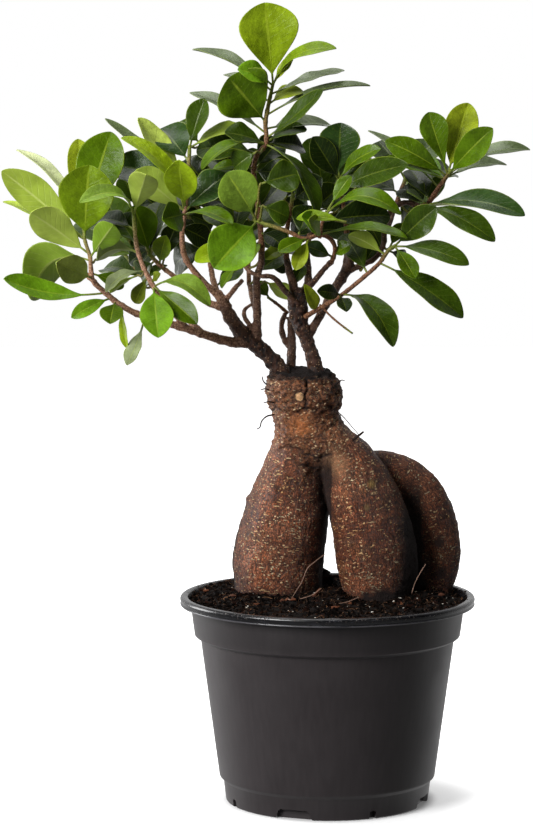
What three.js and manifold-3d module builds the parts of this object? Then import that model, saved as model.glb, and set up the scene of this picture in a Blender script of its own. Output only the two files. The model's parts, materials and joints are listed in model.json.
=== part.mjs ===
// A ficus ginseng bonsai in a round plastic nursery pot.
// Millimetres, +Z up, origin at the centre of the pot's flat base, front of the plant towards -Y.

import * as THREE from 'three';
import { mergeVertices } from 'three/addons/utils/BufferGeometryUtils.js';
import Module from 'manifold-3d';

const wasm = await Module();
wasm.setup();

// Driving dimensions of the pot

const RIM_RADIUS = 75;
const POT_HEIGHT = 105.3;
const BASE_RADIUS = 51.8;
const LIP_HEIGHT = 4.4;
const LIP_INNER_RADIUS = 70.8;
const WALL = 1.6;
const COLLAR_TOP_RADIUS = 69.6;
const COLLAR_FOOT_RADIUS = 67.6;
const COLLAR_FOOT = 85.5;
const COLLAR_STEP = 1.5;
const BODY_TOP_RADIUS = 64.6;
const BODY_FOOT_RADIUS = 55.1;
const BODY_FOOT = 13.2;
const SKIRT_TOP_RADIUS = 53;
const SKIRT_TOP = 11;
const FLOOR_THICKNESS = 8;
const POT_SIDES = 36;
const NOTCH_COUNT = 4;
const WIDE_NOTCH = { width: 16, mouth: 20, height: 5, angle: -20 };
const NARROW_NOTCH = { width: 3.2, mouth: 4, height: 4.2, angle: 25 };
const NOTCH_DEPTH = 3.5;

// Driving dimensions of the soil, the roots and the leaves

const CLEARANCE = 0.3;
const SOIL_AT_WALL = 101.8;
const SOIL_CROWN = 105.4;
const SOIL_SIDES = 18;
const ROOT_SIDES = 12;
const BLADE_THICKNESS = 0.7;
const PETIOLE_THICKNESS = 1;
const PETIOLE_HALF_WIDTH = 0.55;
const BLADE_FOLD = 0.3;
const PETIOLE_SHARE = 0.12;
const WIDEST = 0.6;
const TIP_MARGIN = 1.3;
const STEM_SIDES = 5;
const BLADE_STATIONS = [
  { upTo: 11, shares: [0.36, 0.78] },
  { upTo: 20, shares: [0.28, 0.62, 0.9] },
  { upTo: 40, shares: [0.2, 0.46, 0.72, 0.92] },
];

// The places of the roots, the wood and the leaves are given as [x, z, y]: x and z as an eye 1.5 m
// in front of the pot sees them in the plane y = 0, and y as the depth at which they really lie.

const EYE = new THREE.Vector3(-31, -1500, 347);

function seen(x, z, y) {
  const reach = (y - EYE.y) / -EYE.y;
  return new THREE.Vector3(EYE.x + (x - EYE.x) * reach, y, EYE.z + (z - EYE.z) * reach);
}

// Closed meshes and solids

function solidOf(points, triangles) {
  const vertProperties = new Float32Array(points.flatMap((p) => [p.x, p.y, p.z]));
  let volume = 0;
  for (const [a, b, c] of triangles) {
    volume += points[a].dot(new THREE.Vector3().crossVectors(points[b], points[c]));
  }
  const outward = volume < 0 ? triangles.map(([a, b, c]) => [a, c, b]) : triangles;
  const triVerts = new Uint32Array(outward.flat());
  return new wasm.Manifold(new wasm.Mesh({ numProp: 3, vertProperties, triVerts }));
}

function solidOfGeometry(geometry) {
  const plain = geometry.clone();
  plain.deleteAttribute('normal');
  plain.deleteAttribute('uv');
  const merged = mergeVertices(plain, 1e-4);
  const position = merged.attributes.position;
  const points = [];
  for (let i = 0; i < position.count; i += 1) {
    points.push(new THREE.Vector3().fromBufferAttribute(position, i));
  }
  const triangles = [];
  for (let i = 0; i < merged.index.count; i += 3) {
    const [a, b, c] = [0, 1, 2].map((k) => merged.index.getX(i + k));
    if (a !== b && b !== c && c !== a) triangles.push([a, b, c]);
  }
  return solidOf(points, triangles);
}

function joined(solids) {
  return solids.reduce((whole, solid) => whole.add(solid));
}

function meshOf(name, solid, material) {
  const { vertProperties, triVerts } = solid.getMesh();
  const geometry = new THREE.BufferGeometry();
  geometry.setAttribute('position', new THREE.BufferAttribute(new Float32Array(vertProperties), 3));
  geometry.setIndex(new THREE.BufferAttribute(new Uint32Array(triVerts), 1));
  geometry.computeVertexNormals();
  const mesh = new THREE.Mesh(geometry, material);
  mesh.name = name;
  return mesh;
}

function loft(rings) {
  const sides = rings[0].length;
  const points = rings.flat();
  const triangles = [];
  for (let i = 0; i + 1 < rings.length; i += 1) {
    for (let j = 0; j < sides; j += 1) {
      const a = i * sides + j;
      const b = i * sides + ((j + 1) % sides);
      triangles.push([a, b, b + sides], [a, b + sides, a + sides]);
    }
  }
  const last = (rings.length - 1) * sides;
  for (let j = 1; j + 1 < sides; j += 1) {
    triangles.push([0, j + 1, j], [last, last + j, last + j + 1]);
  }
  return solidOf(points, triangles);
}

// A round limb through [x, z, y, radius] points, with frames carried along it without twist.

function limb(places, sides, steps, swelling = 0) {
  const centres = places.map(([x, z, y]) => seen(x, z, y));
  const curve = new THREE.CatmullRomCurve3(centres, false, 'centripetal');
  const count = (places.length - 1) * steps;
  const rings = [];
  let normal = new THREE.Vector3(0, -1, 0);
  for (let i = 0; i <= count; i += 1) {
    const t = i / count;
    const tangent = curve.getTangent(t);
    normal = normal.clone().addScaledVector(tangent, -normal.dot(tangent)).normalize();
    const binormal = new THREE.Vector3().crossVectors(tangent, normal);
    const along = t * (places.length - 1);
    const k = Math.min(Math.floor(along), places.length - 2);
    const radius = THREE.MathUtils.lerp(places[k][3], places[k + 1][3], along - k);
    const centre = curve.getPoint(t);
    const ring = [];
    for (let j = 0; j < sides; j += 1) {
      const angle = (2 * Math.PI * j) / sides;
      const r = radius * (1 + swelling * Math.sin(1.7 * i + 2.1 * j));
      ring.push(centre.clone()
        .addScaledVector(normal, r * Math.cos(angle))
        .addScaledVector(binormal, r * Math.sin(angle)));
    }
    rings.push(ring);
  }
  return loft(rings);
}

// The pot: a lathed shell on a thick floor, with drainage notches pressed into its foot

function potProfile() {
  const lipFoot = POT_HEIGHT - LIP_HEIGHT;
  const collarTop = lipFoot - 0.6;
  const inside = (radius) => radius - WALL;
  return [
    [0, 0],
    [BASE_RADIUS, 0],
    [SKIRT_TOP_RADIUS, SKIRT_TOP],
    [BODY_FOOT_RADIUS, BODY_FOOT],
    [BODY_TOP_RADIUS, COLLAR_FOOT - COLLAR_STEP],
    [COLLAR_FOOT_RADIUS, COLLAR_FOOT],
    [COLLAR_TOP_RADIUS, collarTop],
    [RIM_RADIUS - 1.4, lipFoot],
    [RIM_RADIUS, lipFoot + 1.3],
    [RIM_RADIUS, POT_HEIGHT - 1.3],
    [RIM_RADIUS - 1.1, POT_HEIGHT],
    [LIP_INNER_RADIUS + 0.8, POT_HEIGHT],
    [LIP_INNER_RADIUS, POT_HEIGHT - 0.8],
    [inside(COLLAR_TOP_RADIUS), collarTop],
    [inside(COLLAR_FOOT_RADIUS), COLLAR_FOOT + WALL],
    [inside(BODY_TOP_RADIUS), COLLAR_FOOT - COLLAR_STEP],
    [inside(SKIRT_TOP_RADIUS), FLOOR_THICKNESS],
    [0, FLOOR_THICKNESS],
  ].map(([r, z]) => new THREE.Vector2(r, z));
}

function upright(geometry) {
  return geometry.rotateX(Math.PI / 2);
}

function notch({ width, mouth, height, angle }) {
  const outline = new THREE.Shape([
    new THREE.Vector2(-mouth / 2, -1),
    new THREE.Vector2(mouth / 2, -1),
    new THREE.Vector2(width / 2, height),
    new THREE.Vector2(-width / 2, height),
  ]);
  const outer = BASE_RADIUS + 6;
  const inner = BASE_RADIUS - NOTCH_DEPTH;
  const wedge = new THREE.ExtrudeGeometry(outline, { depth: outer - inner, bevelEnabled: false });
  upright(wedge).translate(0, -inner, 0);
  return solidOfGeometry(wedge.rotateZ(THREE.MathUtils.degToRad(angle)));
}

function pot() {
  let shell = solidOfGeometry(upright(new THREE.LatheGeometry(potProfile(), POT_SIDES)));
  for (const shape of [WIDE_NOTCH, NARROW_NOTCH]) {
    for (let i = 0; i < NOTCH_COUNT; i += 1) {
      const angle = shape.angle + (360 / NOTCH_COUNT) * i;
      shell = shell.subtract(notch({ ...shape, angle }));
    }
  }
  return shell;
}

// The rootstock: three swollen roots, a neck and a cut head, as ellipses [z, left, right, depth, y]
// where left and right are the seen edges, depth the half thickness and y the middle.

const LEFT_ROOT = [
  [86, -37, -14, 11, 20], [94, -43, -8, 17, 20], [104, -46, -4, 21, 20], [112, -47.5, -2.6, 23, 20],
  [122, -48.2, -2, 24, 20], [133, -46.8, -0.8, 23.5, 20], [144, -43.8, 0.6, 22, 19],
  [155, -40, 0.4, 20, 18], [166, -35.6, -1, 18, 17], [175, -31.2, -2, 16, 16],
  [182.5, -28.2, -4, 14, 15.5], [191, -25.6, -8, 11, 15.5],
];
const MIDDLE_ROOT = [
  [86, 18, 34, 8, 7], [93, 13, 38, 12, 7], [100, 10, 41.5, 15, 6], [108, 7.8, 44, 17, 6],
  [118, 5.2, 46, 18.4, 6], [130, 3.4, 45.4, 19, 6], [142, 1.6, 42.6, 18.6, 7], [154, -0.6, 38.4, 17.6, 8],
  [164, -2.4, 33.6, 16.6, 10], [173, -5, 28, 15.6, 12], [182, -10, 21, 14.6, 13],
  [188, -14, 13.4, 13.4, 14], [194.5, -12, 6.8, 10, 15],
];
const NECK_AND_HEAD = [
  [164, -22, -6, 8, 17], [172, -29.6, 8, 13, 16.5], [180, -28.2, 14, 15, 16], [187, -27, 12, 15.5, 16],
  [192, -27, 8, 15.4, 16], [197.5, -28.2, 5.8, 15.6, 16], [199.4, -28.2, 5.2, 15.4, 16],
  [201.5, -29.3, 6.2, 16.8, 16], [209, -31.4, 7, 17.6, 16], [215, -30.6, 4.8, 17, 16],
  [219, -29.4, 1.6, 16, 16], [221.2, -27.6, -0.8, 14.4, 16],
];
const REAR_ROOT = [
  [4, 166, 21, 9], [16, 168, 24, 10.6], [27, 167.4, 26, 12], [37, 164.3, 27, 12.4],
  [45.4, 158, 27, 12.4], [51.6, 148, 27, 12.1], [55.6, 136, 27, 11.7], [56.6, 125, 26.4, 11.3],
  [54.8, 114, 24.6, 10.6], [49.6, 104, 21, 9.4], [44, 95, 17, 7.6], [41, 88, 15, 5.6],
];

function lobe(rows, grown = 0) {
  const rings = rows.map(([z, left, right, depth, y], i) => {
    const ring = [];
    const middle = (left + right) / 2;
    const half = (right - left) / 2;
    for (let j = 0; j < ROOT_SIDES; j += 1) {
      const angle = (2 * Math.PI * j) / ROOT_SIDES;
      const lump = 1 + 0.018 * Math.sin(3 * angle + 1.3 * i) * Math.abs(Math.sin(angle));
      const place = seen(middle + half * Math.cos(angle), z, y);
      place.x += grown * Math.cos(angle);
      place.y += (depth * lump + grown) * Math.sin(angle);
      ring.push(place);
    }
    return ring;
  });
  return loft(rings);
}

function rearRoot(grown = 0) {
  return limb(REAR_ROOT.map(([x, z, y, r]) => [x, z, y, r + grown]), 11, 1);
}

// The wood of the grafted crown, as limbs of [x, z, y, radius]

const LEFT_WOOD = [
  { sides: 8, steps: 1, places: [
    [-21.5, 215, 14, 4.4], [-25.5, 222, 13.5, 4.4], [-31.5, 228.4, 13, 3.9], [-38, 234.6, 12, 3.6],
    [-44, 240, 11, 3.3], [-49.5, 248, 10, 2.9], [-53, 255, 9, 2.6], [-56, 259.5, 8.4, 2],
  ] },
  { sides: 6, steps: 1, places: [
    [-40.5, 236, 11, 2.9], [-49, 236.4, 8, 2.3], [-57.3, 239, 4, 2.1], [-68, 242.2, 0, 2], [-80, 243.8, -4, 1.9],
  ] },
  { sides: 8, steps: 1, places: [
    [-36, 233, 12, 2.4], [-35.8, 240, 11, 2.3], [-35.7, 256, 9.6, 2], [-36, 266, 8.6, 1.9],
    [-33.8, 274, 7, 1.8], [-33.4, 281, 6.2, 1.7],
  ] },
  { sides: 5, steps: 1, places: [[-37, 240, 11, 1.2], [-41.6, 246, 10, 1.2], [-42.2, 250.4, 9.4, 1], [-38.5, 253.4, 9, 0.8]] },
  { sides: 5, steps: 1, places: [[-54, 256, 9, 1.6], [-59.4, 261.4, 6.6, 1.6], [-65, 267.3, 4, 1.5]] },
  { sides: 5, steps: 1, places: [[-52.6, 253.6, 9, 1.5], [-60, 256, 12, 1.4], [-67.4, 260.4, 15, 1.3]] },
  { sides: 5, steps: 1, places: [[-52, 254.6, 9, 1.4], [-47.6, 260.6, 7, 1.3], [-43, 265.6, 4.4, 1.1]] },
  { sides: 5, steps: 1, places: [[-54.6, 256.6, 9, 1.7], [-57.6, 264, 14, 1.6], [-58.8, 271, 19, 1.4]] },
  { sides: 5, steps: 1, places: [[-35.8, 248, 10.4, 1.6], [-38, 256, 18, 1.4], [-39.6, 264, 26, 1.3]] },
  { sides: 5, steps: 1, places: [[-71, 242.8, -1, 1.6], [-74.4, 245, -3.6, 1.6], [-77.6, 248.6, -5.6, 1.5]] },
  { sides: 5, steps: 1, places: [[-64, 241.2, 1.4, 1.5], [-72, 246.4, 10, 1.4], [-80, 254, 20, 1.3]] },
];
const CENTRE_WOOD = [
  { sides: 6, steps: 1, places: [[-18.6, 216, 20, 2.5], [-18.7, 223, 20.4, 2.4], [-18.2, 232, 22, 2.3], [-18.6, 240, 23, 2], [-19, 247, 24, 1.6]] },
  { sides: 5, steps: 1, places: [[-18.4, 230.6, 22, 1.6], [-22.4, 236.4, 23, 1.5], [-23.4, 243, 24, 1.4], [-21.4, 249, 25, 1.1]] },
];
const RIGHT_WOOD = [
  { sides: 8, steps: 1, places: [
    [-5.6, 215, 13, 4.6], [-6.4, 222, 13, 4], [-8.8, 230, 12.6, 3.3], [-11.4, 237, 12, 3.4],
    [-14, 243.4, 11.6, 4.2], [-15, 250, 11.4, 5], [-15.6, 256.6, 11.4, 4.6], [-15.2, 262, 11.6, 3.2],
  ] },
  { sides: 6, steps: 1, places: [[-16, 258, 11, 2.6], [-18, 265, 10, 2.2], [-19.8, 271, 9.6, 1.9], [-20.8, 276.6, 9.4, 1.5]] },
  { sides: 6, steps: 1, places: [[-13.6, 256, 12, 2.6], [-10.4, 263, 12.6, 2.1], [-10, 271, 15, 1.7], [-10.6, 279.4, 18, 1.4]] },
  { sides: 6, steps: 1, places: [[-11, 260.6, 12, 1.8], [-7, 265, 9, 1.5], [-2.6, 270.4, 4.6, 1.4], [1.6, 275, 0.4, 1.3]] },
  { sides: 6, steps: 1, places: [[-10, 238, 12.4, 2.6], [-6.6, 243, 12.4, 2.2], [-1.4, 252.5, 12.6, 2.1], [4.6, 263, 12.8, 2.3], [9.4, 270.6, 13, 2.7]] },
  { sides: 5, steps: 1, places: [[7.6, 268, 13, 1.6], [8.6, 274, 14.4, 1.4], [9.6, 279.4, 15.6, 1.3]] },
  { sides: 6, steps: 1, places: [[9, 269, 13, 2.3], [11, 275, 13, 2.2], [11.6, 280.6, 12.6, 2]] },
  { sides: 6, steps: 1, places: [
    [9, 269.6, 13, 1.8], [16, 272.8, 12.4, 1.5], [23.4, 276.4, 11, 1.4], [28, 284, 10, 1.4],
    [28.4, 293, 9, 1.5], [32, 301, 8, 1.4], [39, 304.6, 6, 1.4], [46, 302.8, 4, 1.5],
  ] },
  { sides: 5, steps: 1, places: [[-16, 254, 8.6, 1.6], [-22.3, 261, 5, 1.4], [-28, 267.2, 1, 1.3], [-34.3, 267.8, -0.6, 1.2], [-39.8, 270.2, -0.6, 1.1], [-42.6, 274, 0, 1.1]] },
  { sides: 5, steps: 1, places: [[28.6, 289, 9.6, 1.3], [31.4, 295, 14, 1.2], [33, 301, 19, 1.1]] },
];

// A leaf: petiole and blade in one thin loft. Its row is [at, x, z, y, width, face, arch, petiole,
// widest]. at counts along the shoot's points, x, z and y place the tip, face turns the upper side
// from the front (0) over upwards (90) to the back (180), arch is the rise of the midrib over its
// chord, petiole its share of the length and widest the share of the blade at its widest.

function bladeShape(share, widest) {
  const bent = Math.pow(share, Math.log(0.5) / Math.log(widest));
  return Math.pow(Math.sin(Math.PI * bent), 0.65);
}

function leafFrame(base, tip, face) {
  const axis = tip.clone().sub(base).normalize();
  const front = new THREE.Vector3(0, -1, 0);
  front.addScaledVector(axis, -front.dot(axis)).normalize();
  const up = new THREE.Vector3().crossVectors(axis, front);
  if (up.z < -1e-3 || (Math.abs(up.z) <= 1e-3 && up.x < 0)) up.negate();
  const turn = THREE.MathUtils.degToRad(face);
  const normal = front.multiplyScalar(Math.cos(turn)).addScaledVector(up, Math.sin(turn));
  return { normal, side: new THREE.Vector3().crossVectors(normal, axis) };
}

function leaf(foot, row) {
  const [, x, z, y, width, face, arch, petiole = PETIOLE_SHARE, widest = WIDEST] = row;
  const tip = seen(x, z, y);
  const base = foot.clone().addScaledVector(tip.clone().sub(foot).normalize(), PETIOLE_HALF_WIDTH);
  const { normal, side } = leafFrame(base, tip, face);
  const chord = tip.clone().sub(base);
  const bow = 4 * arch * chord.length();
  const section = (u, half, thickness, rise) => {
    const tangent = chord.clone().addScaledVector(normal, bow * (1 - 2 * u)).normalize();
    const lift = normal.clone().addScaledVector(tangent, -normal.dot(tangent)).normalize();
    const middle = base.clone().addScaledVector(chord, u).addScaledVector(normal, bow * u * (1 - u));
    const corner = (s, h) => middle.clone().addScaledVector(side, s * half).addScaledVector(lift, h);
    const h = thickness / 2;
    return {
      left: [corner(-1, rise + h), corner(-1, rise - h)],
      middle: [corner(0, h), corner(0, -h)],
      right: [corner(1, rise + h), corner(1, rise - h)],
    };
  };
  const stalk = [0, petiole].map((u) => section(u, PETIOLE_HALF_WIDTH, PETIOLE_THICKNESS, 0));
  const { shares } = BLADE_STATIONS.find(({ upTo }) => width <= upTo);
  const blade = shares.map((share) => {
    const half = (width / 2) * bladeShape(share, widest);
    return section(petiole + (1 - petiole) * share, half, BLADE_THICKNESS, BLADE_FOLD * half);
  });
  return leafSolid(stalk, blade, section(1, 0, BLADE_THICKNESS, 0).middle);
}

// The stalk has four corners all round and the blade six, and the tip is one short upright edge.
// Both faces of a blade are split along the same diagonals, so that they never cross.

function leafSolid(stalk, blade, tip) {
  const points = [
    ...stalk.flatMap((s) => [s.left[0], s.right[0], s.right[1], s.left[1]]),
    ...blade.flatMap((s) => [s.left[0], s.middle[0], s.right[0], s.right[1], s.middle[1], s.left[1]]),
    ...tip,
  ];
  const triangles = [[0, 2, 1], [0, 3, 2]];
  const quad = (a, b, c, d) => triangles.push([a, b, c], [a, c, d]);
  for (let j = 0; j < 4; j += 1) quad(j, (j + 1) % 4, 4 + ((j + 1) % 4), 4 + j);
  triangles.push([4, 5, 9], [5, 10, 9], [4, 9, 8], [6, 7, 12], [7, 13, 12], [6, 12, 11]);
  quad(5, 6, 11, 10);
  quad(7, 4, 8, 13);
  for (let i = 8; i < 8 + 6 * (blade.length - 1); i += 6) {
    quad(i, i + 1, i + 7, i + 6);
    quad(i + 1, i + 2, i + 8, i + 7);
    quad(i + 2, i + 3, i + 9, i + 8);
    quad(i + 4, i + 10, i + 9, i + 3);
    quad(i + 5, i + 11, i + 10, i + 4);
    quad(i + 5, i, i + 6, i + 11);
  }
  const last = 8 + 6 * (blade.length - 1);
  const [top, under] = [last + 6, last + 7];
  triangles.push([last, last + 1, top], [last + 1, last + 2, top]);
  triangles.push([last + 3, last + 4, under], [last + 4, last + 5, under]);
  quad(last + 2, last + 3, under, top);
  quad(last + 5, last, top, under);
  return solidOf(points, triangles);
}

function spray(shoots) {
  const solids = [];
  for (const { stem, leaves } of shoots) {
    const curve = new THREE.CatmullRomCurve3(stem.map(([x, z, y]) => seen(x, z, y)), false, 'centripetal');
    const end = 1 - TIP_MARGIN / curve.getLength();
    solids.push(limb(stem, STEM_SIDES, 1));
    for (const row of leaves) {
      solids.push(leaf(curve.getPoint(Math.min(row[0] / (stem.length - 1), end)), row));
    }
  }
  return joined(solids);
}

// The leafy shoots

const SPRAYS = {
  spray_crown: [
    { stem: [
      [-33.4, 281.6, 6, 1.5], [-34.5, 297, 6, 1.4], [-36, 308, 6, 1.4], [-37.5, 320, 5, 1.3],
      [-36, 328, 3, 1.2], [-31.3, 334, 1, 1.2], [-31.5, 345, 1, 1.1], [-29.5, 356, 1, 1], [-27.5, 365, 1, 0.8],
    ],
    leaves: [
      [8, -32, 404.3, -2, 30, 10, 0.03, 0.1, 0.66],
      [7.9, 5, 381.5, -14, 15, 62, 0.18],
      [8, -17.5, 377, -4, 6, 40, 0.05],
      [7.8, -45.5, 371, -10, 13, 40, 0.1],
      [7.5, -68, 381, 14, 15, 68, 0.08],
      [7.3, 8, 371.5, 16, 13, 74, 0.06],
      [6.3, 21, 363, 10, 12, 78, 0.15],
      [6, -54.7, 363.5, -8, 20, 8, 0.05, 0.08],
      [6.8, -13, 360.5, 10, 11, 50, 0.1],
      [6.9, -52, 368.5, 22, 13, 65, 0.05],
      [5.5, -69.5, 359.5, 14, 14, 62, 0.06],
      [5.3, -3, 361, -8, 11, 50, 0.03],
      [5.7, 2, 345, 26, 17, 62, 0.06],
      [5.1, -11, 341.5, 8, 11, 50, 0.12],
      [5, -52, 339.5, -4, 14, 62, 0.12],
      [5, -63.5, 321, -18, 13, 70, 0.16],
      [5, -6, 297, -16, 14, 65, 0.15],
      [5, -12.7, 332, 16, 17, 50, 0.06],
      [4.2, -66, 331, 14, 18, 40, 0.08],
      [3, -16.5, 318, -6, 15, 25, 0.08],
      [1.6, -22, 293, -8, 14, 20, 0.06],
      [3.2, -58, 320.5, -4, 9, 60, 0.1],
      [1.8, -50, 303, 2, 11, 25, 0.08],
      [0.5, -21.5, 281.5, -6, 12, 35, 0.1],
      [0.15, -40.5, 274.5, -5, 9, 40, 0.2],
    ] },
  ],
  spray_upper_left: [
    { stem: [
      [-65.3, 267.6, 3.8, 1.5], [-72, 277, 1, 1.4], [-73.5, 288.5, -2, 1.3], [-72, 300, -3, 1.2],
      [-70.8, 312, -2, 1.1], [-70, 325, 2, 1], [-69.5, 333, 4, 0.9],
    ],
    leaves: [
      [4.2, -95, 348, 6, 15, 55, 0.02],
      [3, -104, 337, -8, 14, 60, 0.17],
      [3.2, -69.5, 324, -26, 21, 4, 0.04],
      [5, -84, 341.5, 16, 21, 25, 0.08],
      [4, -108.5, 323, 10, 20, 30, 0.1],
      [6, -63, 357, 4, 13, 20, 0.05],
      [6, -42.8, 344, 10, 13, 62, 0.15],
      [3, -97, 320.5, -12, 16, 172, 0.05],
      [3, -50.5, 318, -8, 13, 42, 0.08],
      [2.9, -83.5, 296, -22, 16, 8, 0.05],
      [2.9, -48, 293.5, -24, 12, 62, 0.12],
    ] },
  ],
  spray_left_twig: [
    { stem: [
      [-77.9, 249, -5.8, 1.4], [-82.7, 255, -8, 1.4], [-88, 262.5, -9, 1.3], [-92.5, 271, -9, 1.2],
      [-96, 281, -9, 1.1], [-97.3, 291, -9, 1], [-97.8, 300, -9, 0.9],
    ],
    leaves: [
      [6, -86, 317, -38, 18, 175, 0.05],
      [6, -125, 304.5, -39, 12, 65, 0.24],
      [2, -85.7, 236.5, -32, 17, 5, 0.04],
      [2, -66, 243.5, -24, 12, 20, 0.05],
      [2, -59.5, 253, -26, 12, 60, 0.32],
      [2.2, -84.5, 269, -12, 6, 50, 0.05],
      [2.6, -98.5, 253, -2, 9, 15, 0.05],
      [2.9, -112, 259.5, -16, 9, 60, 0.08],
      [3.9, -116, 275, -4, 13, 60, 0.15],
      [5, -116.5, 294.5, 12, 15, 55, 0.12],
      [4.2, -106, 298, 6, 15, 15, 0.05],
      [3.8, -109.5, 286, 2, 8, 10, 0.05],
    ] },
  ],
  spray_left_low: [
    { stem: [
      [-80.4, 243.9, -4.1, 1.8], [-95, 248, -7, 1.6], [-105, 253.3, -9, 1.5], [-112, 259, -10, 1.4],
      [-118.5, 265.5, -11, 1.3], [-119.5, 271, -11, 1.2], [-119.8, 277, -11, 1], [-122.5, 286, -11, 0.9],
      [-123, 294, -8, 0.8],
    ],
    leaves: [
      [7, -164, 320.5, -4, 17.5, 170, 0.05],
      [6.2, -150, 297, -24, 17.5, 172, 0.05],
      [6, -108, 293.5, -26, 14, 172, 0.05],
      [7, -120, 323.5, -18, 28, 4, 0.05, 0.1],
      [8, -109, 340, 4, 24, 10, 0.04],
      [8, -126, 337, 12, 15, 20, 0.05],
      [8, -156.5, 331.5, 16, 11, 62, 0.14],
      [7, -163.5, 305, 20, 11, 70, 0.03],
      [5.8, -149.5, 256, -8, 19, 125, 0.32],
      [4.2, -137.5, 273, -22, 13, 8, 0.04],
      [3, -163, 267.3, -28, 12, 50, 0.04, 0.2],
      [2.6, -129.5, 246.5, -18, 8, 20, 0.1],
      [2.3, -110, 243.5, -24, 12, 10, 0.05],
      [2, -101.3, 230.3, -6, 6, 60, 0.03],
      [1, -102, 222.5, -12, 9, 35, 0.05, 0.3],
    ] },
    { stem: [[-118.5, 265.5, -11, 1.3], [-122, 268.6, -10.4, 1.3], [-126, 272.6, -10, 1.2]], leaves: [] },
  ],
  spray_left_inner: [
    { stem: [
      [-67.8, 260.7, 15.2, 1.3], [-79, 268.6, 16, 1.2], [-85, 273.4, 15, 1.1], [-90.4, 279, 15, 1],
    ],
    leaves: [
      [2, -81.5, 288, 4, 10, 15, 0.05],
      [3, -98, 303, 18, 18, 20, 0.06],
      [2.4, -94, 266.5, 26, 15, 30, 0.1],
      [3, -84, 305, 30, 17, 30, 0.08],
    ] },
  ],
  spray_middle: [
    { stem: [
      [2, 275.5, 0, 1.2], [3.6, 281, -4, 1.1], [1.5, 286, -8, 1.1], [-4, 288.5, -12, 1.1],
      [-12, 286.5, -14, 1], [-20, 290, -14, 1], [-29, 293, -12, 1], [-37, 295.5, -10, 0.9],
    ],
    leaves: [
      [3.1, 9.5, 295.5, -38, 12, 55, 0.1],
      [3.3, -13.5, 297.5, -32, 11, 60, 0.1],
      [3, 40, 286.5, -24, 11, 68, 0.1],
      [0.3, -11.8, 282.8, -8, 9, 30, 0.05],
      [0.4, 11.5, 283, -8, 8, 40, 0.1],
      [3.8, -25, 280, -24, 9, 30, 0.05],
      [3.7, -16.5, 270.5, -20, 8, 10, 0.05],
      [4.4, -9, 303, -4, 14, 15, 0.05],
      [7, -50, 318.5, -16, 14, 18, 0.1, 0.3],
      [7, -57.5, 271.5, -34, 23, 5, 0.06],
    ] },
    { stem: [[-4, 288.5, -12, 1], [-3, 294, -13, 0.9], [-0.5, 300.5, -13, 0.8]],
      leaves: [
        [2, 11.5, 318, -16, 8, 30, 0.05, 0.3],
        [2, 36.6, 298.5, -26, 13, 60, 0.2],
        [1.2, 31, 298, 4, 18, 30, 0.05],
      ] },
  ],
  spray_cross: [
    { stem: [[-42.9, 274.5, 0, 1.1], [-45.5, 281, 1, 1.1], [-47.5, 288, 2, 1]],
      leaves: [
        [0.2, -53.6, 261.5, -8, 8, 60, 0.05],
        [1.4, -67, 275, -6, 11, 30, 0.06],
        [2, -60, 302, 14, 16, 30, 0.08],
        [2, -43, 305, 18, 14, 20, 0.06],
      ] },
  ],
  spray_centre: [
    { stem: [[-20.9, 277.2, 9.4, 1.4], [-21, 288, 8, 1.2], [-19, 300, 8, 1.1], [-17.5, 309, 8, 1]],
      leaves: [
        [0.3, -31.5, 276, -2, 8, 40, 0.15],
        [3, -9, 318, 2, 10, 20, 0.06],
        [2.6, -3, 317, -3, 14, 15, 0.05],
        [1.8, -8.5, 290, -2, 13, 12, 0.06],
        [3, -24, 328, 14, 14, 20, 0.06],
      ] },
  ],
  spray_centre_low: [
    { stem: [[-21.5, 250, 25.2, 0.9], [-26, 253.8, 22, 0.8], [-30.4, 257, 19, 0.7]],
      leaves: [
        [2, -36, 264.8, 16, 7, 25, 0.06],
      ] },
  ],
  spray_upper_middle: [
    { stem: [[9.7, 280, 15.8, 1.3], [9.3, 290, 15, 1.2], [8, 301, 13, 1.1], [6, 311, 11, 1], [5.3, 316.5, 10, 0.9]],
      leaves: [
        [4, 7.5, 343.5, 4, 19, 8, 0.05, 0.15, 0.68],
        [4, -8, 337.5, 0, 14, 12, 0.05],
        [4, 26.5, 331.5, -6, 11, 55, 0.12],
        [4, 28, 322, 8, 13, 40, 0.08],
        [3, 40.3, 323.5, -28, 14, 30, 0.08, 0.1],
      ] },
  ],
  spray_right_low: [
    { stem: [
      [-10.3, 247.8, 7.5, 1.2], [0.8, 254.2, 2, 1.2], [7.4, 258.5, -2, 1.1], [18.3, 267.3, -6, 1.1],
      [26, 274.3, -10, 1], [30.5, 280.5, -12, 1], [34, 283, -13, 0.9],
    ],
    leaves: [
      [2, 33.5, 231.5, -30, 17, 5, 0.05, 0.1],
      [1.9, -5.5, 260, -14, 8, 20, 0.1],
      [1.8, 9.4, 249.6, -12, 8, 20, 0.1],
      [3.2, 8, 288.6, 12, 14, 15, 0.06],
      [4.6, 10.5, 288.4, -18, 10, 150, 0.1],
      [4, 68.2, 246.5, -18, 17, 40, 0.06, 0.15],
      [6, 71, 273.3, -24, 13, 42, 0.1],
      [6, 44, 266.3, -26, 10, 20, 0.05],
      [6, 54.7, 302.4, -28, 15, 20, 0.05],
      [5, 38.5, 275, 2, 8, 30, 0.1],
      [0.4, -12, 263.5, -3, 7, 20, 0.05, 0.05, 0.35],
    ] },
    { stem: [[-3, 252, 4, 0.6], [1.4, 247.4, 1, 0.55], [6.6, 243, -1, 0.5], [12.5, 238.6, -3, 0.5]], leaves: [] },
  ],
  spray_right_top: [
    { stem: [[46.6, 302.7, 3.8, 1.3], [49.4, 303.4, 3.6, 1.3], [52, 306.5, 4, 1.3], [55.5, 312, 5, 1.2], [60, 318.5, 5, 1.1], [61.5, 321.5, 5, 1]],
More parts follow.
